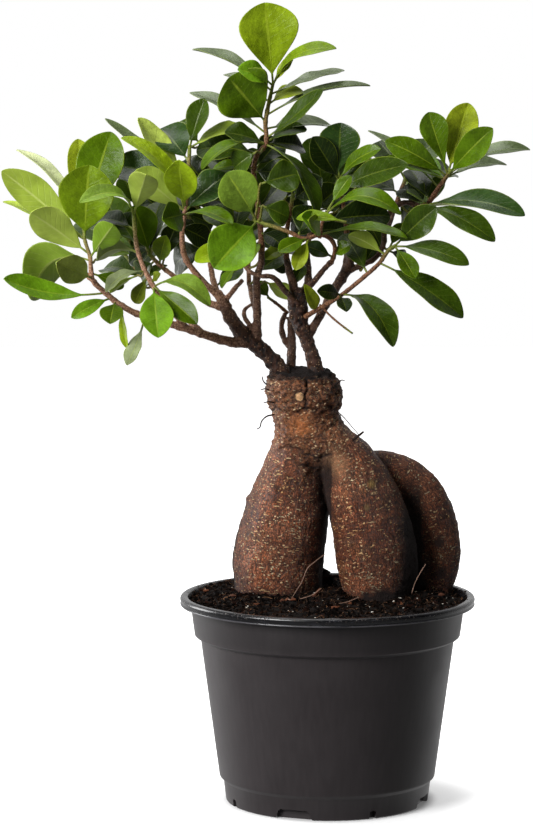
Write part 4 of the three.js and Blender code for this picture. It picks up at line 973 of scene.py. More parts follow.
def notch(quarter, width, mouth, height, angle):
    """A wedge with sloping ends that is pressed out of the skirt."""
    corner = min(1.2, width / 4)
    outline = [(-mouth / 2, -1), (mouth / 2, -1), (width / 2 + 0.2, height - corner),
               (width / 2 - corner, height), (-width / 2 + corner, height),
               (-width / 2 - 0.2, height - corner)]
    n = len(outline)
    faces = [tuple(range(n)), tuple(reversed(range(n, 2 * n)))]
    faces += [((j + 1) % n, j, j + n, (j + 1) % n + n) for j in range(n)]
    turn = math.radians(angle + 90 * quarter)
    cosine, sine = math.cos(turn), math.sin(turn)
    vertices = [(x * cosine - y * sine, x * sine + y * cosine, z)
                for y in (-BASE_RADIUS - 6, NOTCH_DEPTH - BASE_RADIUS) for x, z in outline]
    return np.array(vertices), faces


def make_pot(material):
    form, cutters = Form(), Form()
    form.add(*lathed(POT_PROFILE, POT_SIDES))
    for shape in NOTCHES:
        for quarter in range(4):
            cutters.add(*notch(quarter, **shape))
    shell = linked("pot shell", form.mesh("pot shell", [material]))
    cut = shell.modifiers.new("notches", "BOOLEAN")
    cut.operation = "DIFFERENCE"
    cut.solver = "EXACT"
    cut.object = linked("notches", cutters.mesh("notches", [material], smooth=False))
    mesh = settled(shell, cut.object)
    mesh.set_sharp_from_angle(angle=CREASE)
    piece("pot_shell", mesh, "pot", "pot")


# The soil

# Where it is heaped, as [x, y, radius, height]
HEAPS = [[-52, 34, 15, 2.6], [-2, 31, 5.5, 7.5], [-24, -8, 13, -1.4], [24, -14, 13, -3.6], [52, 6, 10, 1.8]]


def soil_height(x, y):
    reach = math.hypot(x, y)
    dome = np.interp(reach, [0, 14, 34, 56, SOIL_EDGE],
                     [SOIL_CROWN, SOIL_CROWN, SOIL_CROWN - 0.3, SOIL_AT_WALL + 1.2, SOIL_AT_WALL])
    wide = noise.noise(Vector((x / 11, y / 11, 3.1))) * 1.6
    fine = noise.fractal(Vector((x / 3.2, y / 3.2, 7.7)), 0.7, 2.1, 4) * 0.8
    heaped = sum(h * math.exp(-((x - u) ** 2 + (y - v) ** 2) / r ** 2) for u, v, r, h in HEAPS)
    return float(dome) + heaped + SOIL_RISE - 0.9 + (wide + fine) * min(1, 0.25 + (SOIL_EDGE - reach) / 10)


def soil_top(sides, rings):
    """The open top of the bed, as rings round the middle."""
    vertices = [(0, 0, soil_height(0, 0))]
    for i in range(1, rings + 1):
        r = SOIL_EDGE * i / rings
        places = [(r * cosine, r * sine) for cosine, sine in circle(sides)]
        vertices += [(x, y, soil_height(x, y)) for x, y in places]
    faces = [(0, 1 + j, 1 + (j + 1) % sides) for j in range(sides)]
    for i in range(rings - 1):
        for j in range(sides):
            a, b = 1 + i * sides + j, 1 + i * sides + (j + 1) % sides
            faces.append((a, a + sides, b + sides, b))
    return vertices, faces


def make_soil(material):
    sides = 210
    vertices, faces = soil_top(sides, rings=64)
    below = [(COLLAR_TOP_RADIUS, LIP_FOOT - 1), (COLLAR_FOOT_RADIUS, COLLAR_FOOT + WALL + CLEARANCE)]
    for z in (BODY_TOP, FLOOR_THICKNESS + CLEARANCE):
        below.append((np.interp(z, [FLOOR_THICKNESS, BODY_TOP], [SKIRT_TOP_RADIUS, BODY_TOP_RADIUS]), z))
    for outer, z in below:
        start = len(vertices) - sides
        r = outer - WALL - CLEARANCE
        vertices += [(r * cosine, r * sine, z) for cosine, sine in circle(sides)]
        for j in range(sides):
            k = (j + 1) % sides
            faces.append((start + j, start + sides + j, start + sides + k, start + k))
    last = len(vertices) - sides
    vertices.append((0, 0, FLOOR_THICKNESS + CLEARANCE))
    faces += [(last + (j + 1) % sides, last + j, len(vertices) - 1) for j in range(sides)]
    form = Form()
    form.add(vertices, faces)
    piece("soil_bed", form.mesh("soil bed", [material]), "soil", "soil")


GOLDEN = 1.618
ICOSAHEDRON_RADIUS = 1.902
SIGNS = [(1, 1), (-1, 1), (1, -1), (-1, -1)]
ICOSAHEDRON = [(0, a, b * GOLDEN) for a, b in SIGNS] + [(a, b * GOLDEN, 0) for a, b in SIGNS]
ICOSAHEDRON += [(a * GOLDEN, 0, b) for a, b in SIGNS]
ICOSAHEDRON_FACES = [
    (0, 1, 8), (0, 8, 4), (0, 4, 5), (0, 5, 9), (0, 9, 1), (1, 6, 8), (8, 6, 10), (8, 10, 4), (4, 10, 2),
    (4, 2, 5), (5, 2, 11), (5, 11, 9), (9, 11, 7), (9, 7, 1), (1, 7, 6), (3, 10, 6), (3, 6, 7), (3, 7, 11),
    (3, 11, 2), (3, 2, 10),
]


def lumps(count, seed):
    """Shapes of one millimetre radius or so: icosahedra pushed out of shape."""
    draw = random.Random(seed)
    shapes = []
    for _ in range(count):
        pushed = np.array([draw.uniform(0.45, 1.5) for _ in range(12)])
        corners = np.array(ICOSAHEDRON) / ICOSAHEDRON_RADIUS * pushed[:, None]
        sides = [draw.uniform(low, high) for low, high in ((0.7, 1.5), (0.6, 1.1), (0.4, 0.9))]
        shapes.append((corners * np.array(sides), ICOSAHEDRON_FACES))
    return shapes


def fibres(count, seed):
    """Curled threads about four millimetres long."""
    draw = random.Random(seed)
    shapes = []
    for _ in range(count):
        bend, x, y = 0.0, -2.0, 0.0
        points = []
        for _ in range(4):
            points.append((x, y, draw.uniform(-0.5, 0.7)))
            bend += draw.uniform(-0.8, 0.8)
            x += 1.3 * math.cos(bend)
            y += 1.3 * math.sin(bend)
        shapes.append(strand(points, draw.uniform(0.06, 0.14), sides=3, steps=2))
    return shapes


# The named inputs of the tree that scatters copies, and the kind of each
INPUTS = {
    "Ground": "Geometry", "Shapes": "Collection", "Finish": "Material", "Density": "Float", "Seed": "Int",
    "Smallest": "Float", "Largest": "Float", "Rarity": "Float", "Tilt": "Float", "Sink": "Float",
    "Dark": "Color", "Light": "Color", "Lightness": "Float",
}


def scatter_tree(name):
    """A node tree that sets copies of a few shapes on a surface, each with a tint of its own."""
    tree = bpy.data.node_groups.new(name, "GeometryNodeTree")
    for label, kind in INPUTS.items():
        tree.interface.new_socket(label, in_out="INPUT", socket_type="NodeSocket" + kind)
    tree.interface.new_socket("Copies", in_out="OUTPUT", socket_type="NodeSocketGeometry")
    build = Tree(tree)
    given = {label: build.node("NodeGroupInput", label) for label in INPUTS}

    def drawn(shift, low, high):
        limits = {2: low, 3: high, "Seed": given["Seed"] + shift}
        return build.node("FunctionNodeRandomValue", 1, limits, data_type="FLOAT")

    def step(kind, geometry, **inputs):
        inputs = {key.replace("_", " "): value for key, value in inputs.items()}
        return build.node("GeometryNode" + kind, 0, {"Geometry": geometry, **inputs})

    spots = build.node("GeometryNodeDistributePointsOnFaces", "Points",
                       {"Mesh": given["Ground"], "Density": given["Density"], "Seed": given["Seed"]})
    size = given["Smallest"] + (given["Largest"] - given["Smallest"]) * drawn(1, 0.0, 1.0) ** given["Rarity"]
    turn = build.node("CombineXYZ", 0, {
        0: drawn(2, -1.0, 1.0) * given["Tilt"], 1: drawn(3, -1.0, 1.0) * given["Tilt"],
        2: drawn(4, -math.pi, math.pi)})
    spots = step("SetPosition", spots, Offset=build.node("CombineXYZ", 0, {2: size * given["Sink"] * -MM}))
    kinds = build.node("GeometryNodeCollectionInfo", 0, {
        "Collection": given["Shapes"], "Separate Children": True, "Reset Children": True})
    copies = build.node("GeometryNodeInstanceOnPoints", 0, {
        "Points": spots, "Instance": kinds, "Pick Instance": True, "Rotation": turn, "Scale": size})
    tint = build.node("Mix", 2, data_type="RGBA", inputs={
        0: drawn(5, 0.0, 1.0) ** given["Lightness"], 6: given["Dark"], 7: given["Light"]})
    copies = build.node(
        "GeometryNodeStoreNamedAttribute", inputs={"Geometry": copies, "Name": "tint", "Value": tint},
        data_type="FLOAT_COLOR", domain="INSTANCE")
    copies = step("SetMaterial", step("RealizeInstances", copies), Material=given["Finish"])
    build.node("NodeGroupOutput", 0, {"Copies": copies})
    return tree


def scattered(name, surface, shapes, material, values):
    """Copies of a few shapes on a surface, with values for the inputs from Density on."""
    kit = bpy.data.collections.new(name)
    for number, (vertices, faces) in enumerate(shapes):
        form = Form()
        form.add(vertices, faces)
        mesh = form.mesh(f"{name} {number}", [material], smooth=False)
        for layer in ("tint", "place"):
            mesh.attributes.remove(mesh.attributes[layer])
        kit.objects.link(bpy.data.objects.new(f"{name} {number}", mesh))
    ground = Form()
    ground.add(*surface)
    mesh = ground.mesh(name, [material])
    mesh.attributes.remove(mesh.attributes["tint"])
    holder = linked(name, mesh)
    grow = holder.modifiers.new("scatter", "NODES")
    grow.node_group = scatter_tree(name)
    given = dict(zip(list(INPUTS)[1:], (kit, material, *values)))
    for item in grow.node_group.interface.items_tree:
        if item.in_out == "INPUT" and item.name in given:
            value = given[item.name]
            grow[item.identifier] = colour(value) if isinstance(value, str) else value
    mesh = settled(holder, *kit.objects)
    bpy.data.collections.remove(kit)
    return mesh


# What lies loose on the soil, as its shapes, and then density, seed, smallest, largest, rarity,
# tilt, sink, dark, light and lightness
LITTER = {
    "soil_crumbs": (lumps(10, 11), (6.2e5, 3, 0.25, 1.5, 4.0, 3.0, 0.1, "#050302", "#2a1a11", 4.6)),
    "soil_clods": (lumps(8, 31), (3.2e4, 5, 1.0, 2.6, 3.0, 3.0, 0.35, "#050302", "#38211a", 2.8)),
    "soil_dust": (lumps(6, 21), (4e5, 6, 0.1, 0.6, 3.0, 3.0, 0.0, "#120b08", "#4a3424", 2.0)),
    "soil_fibres": (fibres(12, 4), (9e4, 8, 0.4, 1.3, 2.0, 0.5, -0.5, "#23130c", "#9a7050", 1.6)),
}

# The inside and the top of the lip, where peat dust is left
DUSTY_LIP = [
    (LIP_INNER_RADIUS - 0.4, 103.6), (LIP_INNER_RADIUS + 0.1, 104.4), (LIP_INNER_RADIUS + 1.2, POT_HEIGHT),
]


def make_litter(crumb, fibre):
    top = soil_top(sides=90, rings=28)
    for name, (shapes, values) in LITTER.items():
        surface = lathed(DUSTY_LIP, sides=90) if name == "soil_dust" else top
        material = fibre if name == "soil_fibres" else crumb
        piece(name, scattered(name.replace("_", " "), surface, shapes, material, values), "soil")


# White grains and bits of bark that show in front, as [x, z seen, radius]
PERLITE = [
    [8.5, 104.5, 1.0], [31, 107, 0.8], [37, 102, 0.7], [45, 104, 0.8], [14, 101, 0.5], [24, 103, 0.6],
    [52, 107, 0.6],
]
CHIPS = [
    [-20.2, 101.2, 2.6], [-17.6, 99.8, 1.8], [-23, 100.4, 1.6], [-48, 104, 1.8], [-36, 98.6, 1.6],
    [4, 97.8, 1.7], [38, 100, 1.5], [-62, 107, 1.5], [12, 100, 1.2], [58, 104.5, 1.4],
]


def on_soil(rows, lift):
    """Where grains that the camera sees at [x, z] lie on the bed, as [x, y, radius]."""
    spots = []
    for x, z, size in rows:
        y = EYE[1] + (EYE[2] - SOIL_AT_WALL - SOIL_RISE - lift) / (EYE[2] - z) * -EYE[1]
        spots.append((seen(x, z, y)[0], y, size))
    return spots


def make_grains(name, spots, sink, tints, draw, seed, material):
    form = Form()
    for (x, y, size), (vertices, faces) in zip(spots, lumps(len(spots), seed)):
        place = np.array([x, y, soil_height(x, y) + sink])
        form.add(vertices * size + place, faces, tint=colour(draw.choice(tints)))
    piece(name, form.mesh(name.replace("_", " "), [material], smooth=False), "soil")


def make_perlite(material):
    """The grains that show, and seventy smaller ones all over the bed."""
    draw = random.Random(5)
    spots = on_soil(PERLITE, 0)
    for _ in range(70):
        angle, reach = draw.uniform(0, 2 * math.pi), 65 * draw.random() ** 0.5
        spots.append((reach * math.cos(angle), reach * math.sin(angle), draw.uniform(0.2, 0.55)))
    make_grains("perlite", spots, 0.5, ["#ded8cc", "#cfc6b6", "#efeae0"], draw, 9, material)


def make_chips(material):
    tints = ["#683a22", "#4c2b1b", "#5a3422"]
    make_grains("bark_chips", on_soil(CHIPS, 1), 0.7, tints, random.Random(15), 19, material)


# The roots


def axis_of(rows):
    """Middle line and radius of a root, as [x, y, z, radius]."""
    return np.array([[*seen((left + right) / 2, z, y), ((right - left) / 2 + depth) / 2]
                     for z, left, right, depth, y in Path(rows).samples(60)])


def straightened(points, lines):
    """Each point's place on its own root as if that root were a straight upright cylinder."""
    best = np.full(len(points), np.inf)
    straight = np.zeros((len(points), 3))
    for number, line in enumerate(lines):
        centres = line[:, :3]
        along = np.concatenate([[0], np.cumsum(np.linalg.norm(np.diff(centres, axis=0), axis=1))])
        normals, binormals = frames(centres)
        row, score = nearest(points, line, np.divide)
        offset = points - centres[row]
        axes = [(offset * axis[row]).sum(1) for axis in (normals, binormals, np.cross(normals, binormals))]
        place = np.stack([axes[0], axes[1], along[row] + axes[2] + 100 * number], axis=1)
        straight = np.where((score < best)[:, None], place, straight)
        best = np.minimum(score, best)
    return straight


# Creases of the neck as level, start and end, and the spots of the cleft beside the rear root, where shade is
# painted
FOLDS = [(185.6, -17, -2), (180.6, -26, -12), (176.4, -12, 2), (171, -15, -6)]
CLEFT = [(43, 140), (46.5, 130), (48, 120), (47.5, 110)]


def make_rootstock(material):
    bodies = [lobe(LEFT_ROOT), lobe(MIDDLE_ROOT), lobe(NECK_AND_HEAD, spacing=0.5)]
    bodies += [tube(REAR_ROOT, sides=48, steps=6)[:2], tube(WEB, sides=20, steps=6)[:2]]
    mesh = fused("rootstock", bodies, voxel=0.72, smoothing=7)
    points = vectors(mesh.vertices, "co") / MM
    normals = vectors(mesh.vertex_normals, "vector")
    rear_line = np.array([[*seen(x, z, y), r] for x, z, y, r in Path(REAR_ROOT).samples(60)])
    lines = [*map(axis_of, (LEFT_ROOT, MIDDLE_ROOT, NECK_AND_HEAD)), rear_line]
    straight = straightened(points, lines)
    x, z = seen_from(points)
    y = points[:, 1]
    front = smooth_step(0.1, -0.3, normals[:, 1])

    def near(u, v, size):
        return np.exp(-((x - u) ** 2 + (z - v) ** 2) / size ** 2)

    # The cut head over its ring, with a crack, a round scar and a flake, and the crusty neck
    ring = 199.6 + 0.7 * np.sin(x / 2.3) + 0.5 * np.sin(x / 1.1)
    head = smooth_step(ring - 0.8, ring + 0.8, z)
    seam = np.exp(-((z - ring) / 0.8) ** 2)
    crack = np.exp(-((x + 10.8 + 0.5 * np.sin(z / 1.9) + 0.3 * np.sin(z / 0.8)) / 0.6) ** 2)
    crack = crack * band(z, 201, 203, 215, 217) * front
    scar = near(-13.3, 206.6, 2.0) * front
    hollow = near(-13.3, 206.6, 3.4) * front - scar
    flake = near(4.6, 210.6, 2.6)
    top = smooth_step(0.6, 0.9, normals[:, 2]) * smooth_step(214, 217, z)
    neck = band(x, -16, -12, -1, 4) * smooth_step(163, 170, z)
    neck = np.clip(neck + smooth_step(176, 186, z) * smooth_step(14, 2, x), 0, 1) * (1 - head)
    folds = sum(np.exp(-((z - level - 0.8 * np.sin(x / 2.1 + level)) / 0.55) ** 2)
                * band(x, start - 2, start + 1, end - 1, end + 2) for level, start, end in FOLDS) * front

    # The relief of the bark
    lump = rough(points, 9, 3)
    fine = rough(straight * np.array([1, 1, 0.45]), 2.2, 3, 5.0)
    rings = rough(straight * np.array([0.15, 0.15, 1]), 2.6, 2, 9.0)
    crust = rough(straight * np.array([0.6, 0.6, 1.4]), 2.6, 4, 2.0)
    knots = rough(points, 5.2, 2, 8.0)
    patchy = smooth_step(-0.25, 0.3, rough(points, 1.6, 2, 6.0))
    push = 0.42 * lump + 0.2 * fine + 0.14 * rings + head * (0.85 * crust + 0.9 * knots) - 0.5 * hollow
    push += 0.9 * flake - 0.7 * folds + neck * (0.7 * crust + 0.75 * knots)
    push += -0.45 * seam - 1.5 * crack + 0.55 * scar + 0.25 * near(22, 162, 1.6) * front
    push += 1.6 * near(-41, 155, 1.8) - 0.3 * top
    push *= smooth_step(96, 104, z)
    slope = np.zeros_like(points)
    slope[:, 2] = -2.6 * smooth_step(214, 220, z) * smooth_step(18, 0, y)
    set_points(mesh, points + normals * push[:, None] + slope)
    keep(mesh, "straight", straight * MM)

    # Where the bark is darker. Painted shade between the roots, in the cleft beside the rear root, in the
    # neck's creases, the head's crack and the crust's pits, on the sides turned from the light, lower down
    # and on the left root's left edge; near the soil painted shade and soil dirt together; the seam, the cut
    # top, the flake and the head's rim are darker bark.
    shade = band(x, -9, -2, 2, 6) * smooth_step(182, 168, z)
    shade += band(x, 31, 43, 46, 49) * smooth_step(170, 158, z) * smooth_step(22, 12, y)
    shade += smooth_step(54, 44, x) * smooth_step(12, 20, y) * smooth_step(165, 150, z)
    shade += 0.8 * smooth_step(112, 101, z + 3 * lump)
    across = np.where(x > 2, (x - 2) / 30, (x + 30) / 28)
    across = np.where((y > 12) & (x > 30), 0.95, across)
    turned = 0.44 * smooth_step(0.1, 1, across) * smooth_step(190, 165, z) + 0.16 * smooth_step(150, 110, z)
    # The left root's left edge is painted darker: painted shade.
    left_edge_shade = smooth_step(-0.6, -0.97, normals[:, 0])
    turned += 0.45 * left_edge_shade * smooth_step(180, 165, z) * smooth_step(-14, -24, x)
    pits = head * smooth_step(0.15, 0.4, -crust)
    edge = smooth_step(214.5, 216.5, z + crust) * head
    cleft = sum(near(u, v, 4) for u, v in CLEFT)
    dark = 0.5 * np.clip(shade, 0, 1) + 0.4 * smooth_step(109, 100, z + 3 * lump) + turned + 0.7 * folds
    dark += crack * 1.1 + seam * patchy + top + cleft * 0.5 + pits * 0.6 + flake * 0.8 + edge * 0.75
    orange = near(-13.8, 191.6, 4.9) * front
    marks = [np.clip(dark, 0, 1), np.clip(orange, 0, 1), np.maximum(head, 0.85 * neck)]
    keep(mesh, "marks", np.stack(marks, axis=1))
    mesh.materials.append(material)
    piece("swollen_roots", mesh, "rootstock", "rootstock")


# Threads as radius, colour and [x, z, y] places
BARK_HAIR, PALE_ROOT, BROWN_ROOT = "#2a1812", "#a58270", "#6a3b25"
ROOTLETS = [
    (0.24, PALE_ROOT,
     [[-1.5, 126, 2], [-6, 122.5, -4], [-10, 119, -6], [-13, 112, -7], [-16, 107, -8], [-18.5, 103, -9]]),
    (0.22, PALE_ROOT, [[50, 121, -6], [47, 116, -9], [44.5, 111, -11], [43, 106, -12]]),
    (0.3, PALE_ROOT, [[-18, 103.5, -14], [-14, 101.5, -18], [-10, 99.5, -21]]),
    (0.45, BARK_HAIR, [[-27, 197.5, 8], [-31, 196.5, 6], [-33.5, 194, 5], [-34.4, 191, 5], [-36, 190, 5]]),
    (0.4, BARK_HAIR, [[-27, 203.5, 6], [-30, 204, 4], [-32.5, 203.4, 4]]),
    (0.4, BARK_HAIR, [[-28, 209, 10], [-31.5, 210.6, 9], [-34, 210, 9]]),
    (0.28, BARK_HAIR, [[4, 200, 6], [8.4, 195.8, 3], [12, 191.6, 2], [16, 187, 2]]),
    (0.8, BARK_HAIR, [[12.5, 184.6, 3], [15.5, 186.6, 2.4], [18.2, 188.8, 2]]),
    (0.4, BARK_HAIR, [[-30, 212, 12], [-32.6, 214.5, 12], [-33.2, 216.8, 12]]),
    (0.35, BARK_HAIR, [[4.5, 213, 10], [7, 215, 9], [8.6, 214.6, 9]]),
    (0.18, BARK_HAIR, [[-46, 129, 14], [-49.4, 130.2, 13], [-50.2, 128.2, 13]]),
    (0.25, PALE_ROOT, [[-3, 108.5, -20], [-8, 105, -24], [-16, 102.5, -26]]),
    (0.2, PALE_ROOT, [[16, 104, -30], [10, 101.5, -34], [4, 100.5, -36]]),
    (0.7, BROWN_ROOT, [[-3.8, 108.1, -5], [-6, 105.5, -10], [-8.6, 102, -20], [-9.8, 99.7, -28]]),
    (0.2, PALE_ROOT, [[-20, 103, -24], [-13, 100.6, -28], [-6, 98.6, -30], [-4, 98, -31]]),
]


def make_rootlets(material):
    form = Form()
    for radius, tint, places in ROOTLETS:
        form.add(*strand([seen(*p) for p in places], radius, sides=8, steps=8, taper=0.6), tint=colour(tint))
    piece("rootlets", form.mesh("rootlets", [material]), "rootstock")


# The wood


def limb_line(places, count):
    """The middle line of a limb, as [x, y, z, radius]."""
    return Path([[*seen(x, z, y), radius] for x, z, y, radius in places]).samples(count)


def make_branch(side, limbs, material):
    bodies = [tube(places, sides=18, steps=8, grain=0.22, seed=20 + number, scars=0.1)[:2]
              for number, places in enumerate(limbs)]
    mesh = fused("wood_" + side, bodies, voxel=0.42, smoothing=3)
    points = vectors(mesh.vertices, "co") / MM
    normals = vectors(mesh.vertex_normals, "vector")
    samples = np.concatenate([limb_line(places, 30) for places in limbs])
    radius = samples[nearest(points, samples, np.subtract)[0], 3]
    push = 0.1 * radius * rough(points, 3.2, 3, 1.0) + 0.05 * rough(points, 1.1, 2, 4.0)
    set_points(mesh, points + normals * push[:, None])
    # Thin wood is paler; towards the right the paleness is held back, painted shade.
    youth_in_painted_light = smooth_step(4.2, 2.2, radius) * (0.14 + 0.86 * smooth_step(-20, -80, seen_from(points)[0]))
    keep(mesh, "tint", np.stack([youth_in_painted_light] * 3 + [youth_in_painted_light * 0 + 1], axis=1))
    mesh.materials.append(material)
    piece("wood_" + side, mesh, "branch_" + side, "branch_" + side)


# The leaves

# The colour of each tone, and how glossy it is. L is a paler yellow-green that paints light on leaves that
# lie in shade, and W's greyed green is a painted sheen on top of its gloss.
TONES = {
    "A": ("#94ae18", 0.5), "B": ("#6c9618", 0.6), "Y": ("#96a61e", 0.45), "G": ("#516e08", 0.6),
    "D": ("#384e0b", 0.65), "K": ("#20300d", 0.7), "S": ("#2e471a", 0.95), "O": ("#6b7a18", 0.5),
    "P": ("#9cb03c", 0.3), "U": ("#779430", 0.35), "W": ("#65754a", 0.9), "M": ("#769212", 0.5),
    "H": ("#929e70", 0.25), "L": ("#b4c658", 0.3), "F": ("#c3cc96", 0.3),
}
HALF_ACROSS = [0.07, 0.2, 0.4, 0.62, 0.82, 0.95, 1]
ACROSS = [-s for s in reversed(HALF_ACROSS)] + [0] + HALF_ACROSS
BLADE_ROWS = 22
STALK_ROWS = 4


def blade_shape(share, widest):
    bent = share ** (math.log(0.5) / math.log(widest))
    return max(math.sin(math.pi * bent), 0) ** 0.65


def leaf_frame(base, tip, face):
    """The way a blade's upper side looks, and the way across it."""
    axis = unit(tip - base)
    front = np.array([0.0, -1.0, 0.0])
    front = unit(front - axis * front.dot(axis))
    up = np.cross(axis, front)
    if up[2] < -1e-3 or (abs(up[2]) <= 1e-3 and up[0] < 0):
        up = -up
    turn = math.radians(face)
    normal = front * math.cos(turn) + up * math.sin(turn)
    return normal, np.cross(normal, axis)


def leaf_faces(rows, columns):
    """Faces of a thin closed sheet, with slot 1 for its top and edges and slot 2 for its underside."""
    count = rows * columns
    faces, slots = [], []

    def add(quad, flip=False, slot=1):
        faces.append(tuple(reversed(quad)) if flip else quad)
        slots.append(slot)

    for i in range(rows - 1):
        for a in range(i * columns, i * columns + columns - 1):
            add((a, a + 1, a + 1 + columns, a + columns))
            add((count + a, count + a + columns, count + a + 1 + columns, count + a + 1), slot=2)
        for a, flip in ((i * columns, False), (i * columns + columns - 1, True)):
            add((a, a + columns, count + a + columns, count + a), flip)
    for start, flip in ((0, False), ((rows - 1) * columns, True)):
        for a in range(start, start + columns - 1):
            add((a, count + a, count + a + 1, a + 1), flip)
    return faces, slots


def add_leaf(form, foot, row, draw):
    """A blade with its stalk: folded along the midrib, thin at its edge, a little waved and twisted."""
    tone, _, x, z, y, width, face, arch, *rest = row
    petiole = rest[0] if rest else PETIOLE_SHARE
    widest = rest[1] if len(rest) > 1 else WIDEST
    tip = seen(x, z, y)
    base = foot + unit(tip - foot) * PETIOLE_HALF_WIDTH
    normal, side = leaf_frame(base, tip, face)
    chord = tip - base
    bow = 4 * arch * float(np.linalg.norm(chord))
    fold = BLADE_FOLD * draw.uniform(0.75, 1.1)
    wave = draw.uniform(0.04, 0.1)
    beats = draw.uniform(1.2, 2.4)
    start = draw.uniform(0, 6.28)
    twist = draw.uniform(-0.1, 0.1)
    lean = draw.uniform(-0.05, 0.05)
    shares = [(k / STALK_ROWS, True) for k in range(STALK_ROWS)]
    shares += [((1 - math.cos(math.pi * k / BLADE_ROWS)) / 2, False) for k in range(BLADE_ROWS + 1)]
    tops, unders, uvs = [], [], []
    for share, stalk in shares:
        u = petiole * share if stalk else petiole + (1 - petiole) * share
        half = 0 if stalk else width / 2 * blade_shape(share, widest)
        flat = 0 if stalk else smooth_step(0, 0.25, share)
        turn = 0 if stalk else twist * share
        along = (share - 1) * petiole if stalk else share
        tangent = unit(chord + normal * bow * (1 - 2 * u))
        lift = unit(normal - tangent * normal.dot(tangent))
        across = side * math.cos(turn) + lift * math.sin(turn)
        lift = lift * math.cos(turn) - side * math.sin(turn)
        middle = base + chord * u + normal * bow * u * (1 - u)
        thick = PETIOLE_THICKNESS + (BLADE_THICKNESS - PETIOLE_THICKNESS) * flat
        for s in ACROSS:
            reach = s * half * (1 + lean * s)
            if share < 0.5 or stalk:
                reach = s * max(half * (1 + lean * s), PETIOLE_HALF_WIDTH)
            rise = fold * half * abs(s) ** 1.25 * flat
            beat = beats * 2 * math.pi * share + start + (1.7 if s > 0 else 0)
            ripple = wave * half * s * s * math.sin(beat) * flat
            edge = thick / 2 * (1 - s ** 2) ** 0.5
            swell = edge * (1 - flat) + flat * thick / 2 * (1 - 0.55 * s ** 6)
            rib = math.exp(-(s / 0.08) ** 2) * flat
            spot = middle + across * reach + lift * (rise + ripple)
            tops.append(spot + lift * (swell - rib * 0.1))
            unders.append(spot - lift * (swell + rib * 0.35 * (1 - 0.6 * share)))
            uvs.append((0.5 + 0.5 * s, along))
    faces, slots = leaf_faces(len(shares), len(ACROSS))
    shade, gloss = TONES[tone]
    lighter = draw.uniform(0.88, 1.12)
    # Leaves deep in the crown and further back are painted darker: painted shade.
    inside = smooth_step(75, 45, abs(x + 28)) * band(z, 262, 275, 325, 345)
    lighter *= 1 - 0.5 * inside * smooth_step(-2, 26, y)
    rgb = [c * lighter for c in colour(shade)[:3]]
    form.add(tops + unders, faces, slots, uvs + uvs, (*rgb, gloss))


def make_spray(name, shoots, materials, seed):
    form = Form()
    draw = random.Random(seed)
    for stem, leaves in shoots:
        path = Path([seen(x, z, y) for x, z, y, _ in stem])
        end = 1 - TIP_MARGIN / path.length()
        vertices, faces, count = tube(stem, STEM_SIDES, steps=8, grain=0.12, seed=draw.randrange(90),
                                      scars=0.22, rooted=ROOTED)
        green = np.repeat(smooth_step(0.62, 1.0, np.linspace(0, 1, count)), STEM_SIDES)
        form.add(vertices, faces, tint=np.stack([green, green, green, green * 0 + 1], axis=1))
        for row in leaves:
            add_leaf(form, path.at(min(row[1] / (len(stem) - 1), end)), row, draw)
    piece("shoot_" + name, form.mesh("spray_" + name, materials), "spray_" + name, "spray_" + name)


def make_inner_leaves(materials):
    stems = [stem for shoots in SPRAYS.values() for stem, _ in shoots]
    limbs = [*LEFT_WOOD, *CENTRE_WOOD, *RIGHT_WOOD, *stems]
    wood = np.concatenate([Path([seen(x, z, y) for x, z, y, _ in limb]).samples(30) for limb in limbs])
    form = Form()
    draw = random.Random(77)
    for tone, foot_x, foot_z, x, z, y, width, face in INNER_LEAVES:
        foot = seen(foot_x, foot_z, y - 4)
        start = wood[np.linalg.norm(wood - foot, axis=1).argmin()]
        bend = (start + foot) / 2 + np.array([0, 0, -1.5])
        line = [start, bend, foot, foot + unit(seen(x, z, y) - foot)]
        form.add(*strand(line, 0.7, sides=7, steps=5, taper=0.7), tint=(0.7, 0.7, 0.7, 1))
        add_leaf(form, foot, [tone, 0, x, z, y, width, face, 0.07], draw)
    piece("inner_leaves", form.mesh("inner leaves", materials), "spray_rear_middle")


# The studio

# Softboxes as name, place, width and height, watts, all turned to the plant
SOFTBOXES = [
    ("key", (-1.25, -1.2, 0.92), (0.8, 1.0), 39), ("edge", (-1.5, 0.75, 0.4), (0.8, 1.0), 18),
    ("fill", (1.2, -1.8, 0.8), (1.2, 1.2), 1.5), ("top", (-0.2, 0.1, 1.7), (1.2, 1.0), 14),
]
PLANT_MIDDLE = Vector((0, 0, 0.22))
FLOOR_GLOW = 0.54
BACK_GLOW = 0.75
GROUND_GLOW = 0.38


def looking(direction):
    return direction.to_track_quat("-Z", "Y").to_euler()


def make_lights():
    for name, place, size, power in SOFTBOXES:
        lamp = bpy.data.lights.new(name, "AREA")
        lamp.shape = "RECTANGLE"
        lamp.size, lamp.size_y = size
        lamp.energy = power
        made = linked(name, lamp)
        made.location = place
        made.rotation_euler = looking(PLANT_MIDDLE - Vector(place))


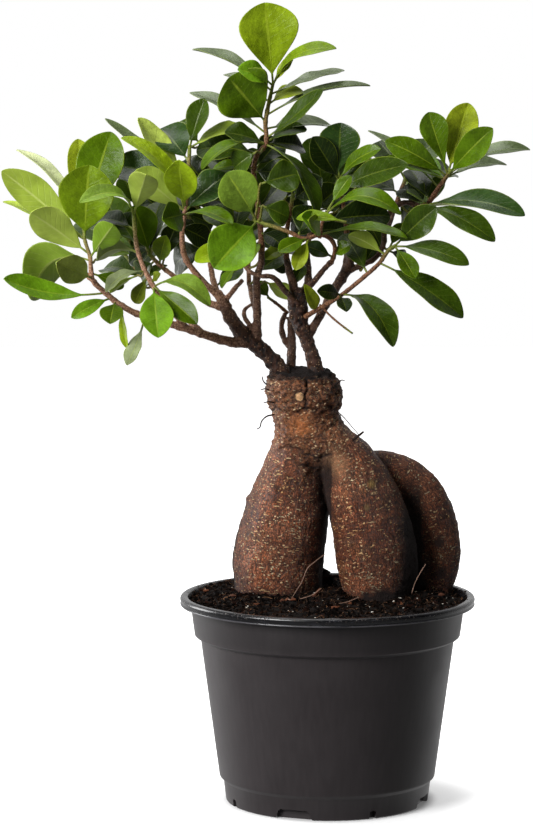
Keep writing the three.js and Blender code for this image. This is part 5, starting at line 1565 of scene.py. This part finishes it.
def make_floor():
    mesh = bpy.data.meshes.new("floor")
    mesh.from_pydata([(-3, -3, 0), (3, -3, 0), (3, 3, 0), (-3, 3, 0)], [], [(0, 1, 2, 3)])
    mesh.materials.append(floor_white())
    floor = linked("floor", mesh)
    floor.visible_diffuse = floor.visible_glossy = False


def make_surroundings():
    """White to look at, and a glow from behind and below that stands for the wall and the ground."""
    world = bpy.data.worlds.new("studio")
    bpy.context.scene.world = world
    world.use_nodes = True
    build = Tree(world.node_tree)
    ways = build.node("TexCoord", "Generated")
    back = build.node("SeparateXYZ", "Y", {0: ways}) * BACK_GLOW
    ground = build.node("SeparateXYZ", "Z", {0: ways}) * -GROUND_GLOW
    glow = (back.most(0) + ground.most(0)).most(build.node("LightPath", "Is Camera Ray"))
    background = world.node_tree.nodes["Background"]
    background.inputs["Color"].default_value = (1, 1, 1, 1)
    world.node_tree.links.new(glow.output, background.inputs["Strength"])


def make_camera():
    camera = bpy.data.cameras.new("camera")
    camera.sensor_fit = "VERTICAL"
    camera.sensor_height = 36
    camera.lens = FOCAL_PIXELS / FRAME_HEIGHT_PIXELS * camera.sensor_height
    eye = linked("camera", camera)
    eye.location = EYE * MM
    eye.rotation_euler = looking(Vector(AIM - EYE))
    bpy.context.scene.camera = eye
    bpy.context.scene.view_settings.view_transform = "Standard"


make_floor()
make_surroundings()
make_lights()
make_camera()
make_pot(pot_plastic())
make_soil(peat())
make_litter(tinted("peat crumbs", 0.85, 0.8, 0.5, 0.05), tinted("peat fibres", 0.8, 0.8, 0.1))
make_perlite(tinted("perlite", 0.85, 0.5, 0.2))
make_chips(tinted("bark chip", 0.8, 0.9, 0.5))
make_rootstock(root_bark())
make_rootlets(tinted("rootlet", 0.7, 0.9, 0.2))
bark = wood_bark()
for side, limbs in (("left", LEFT_WOOD), ("centre", CENTRE_WOOD), ("right", RIGHT_WOOD)):
    make_branch(side, limbs, bark)
leaf_materials = [shoot_bark(), leaf_upper(), leaf_under()]
for number, (name, shoots) in enumerate(SPRAYS.items()):
    make_spray(name, shoots, leaf_materials, 100 + number)

make_inner_leaves(leaf_materials)
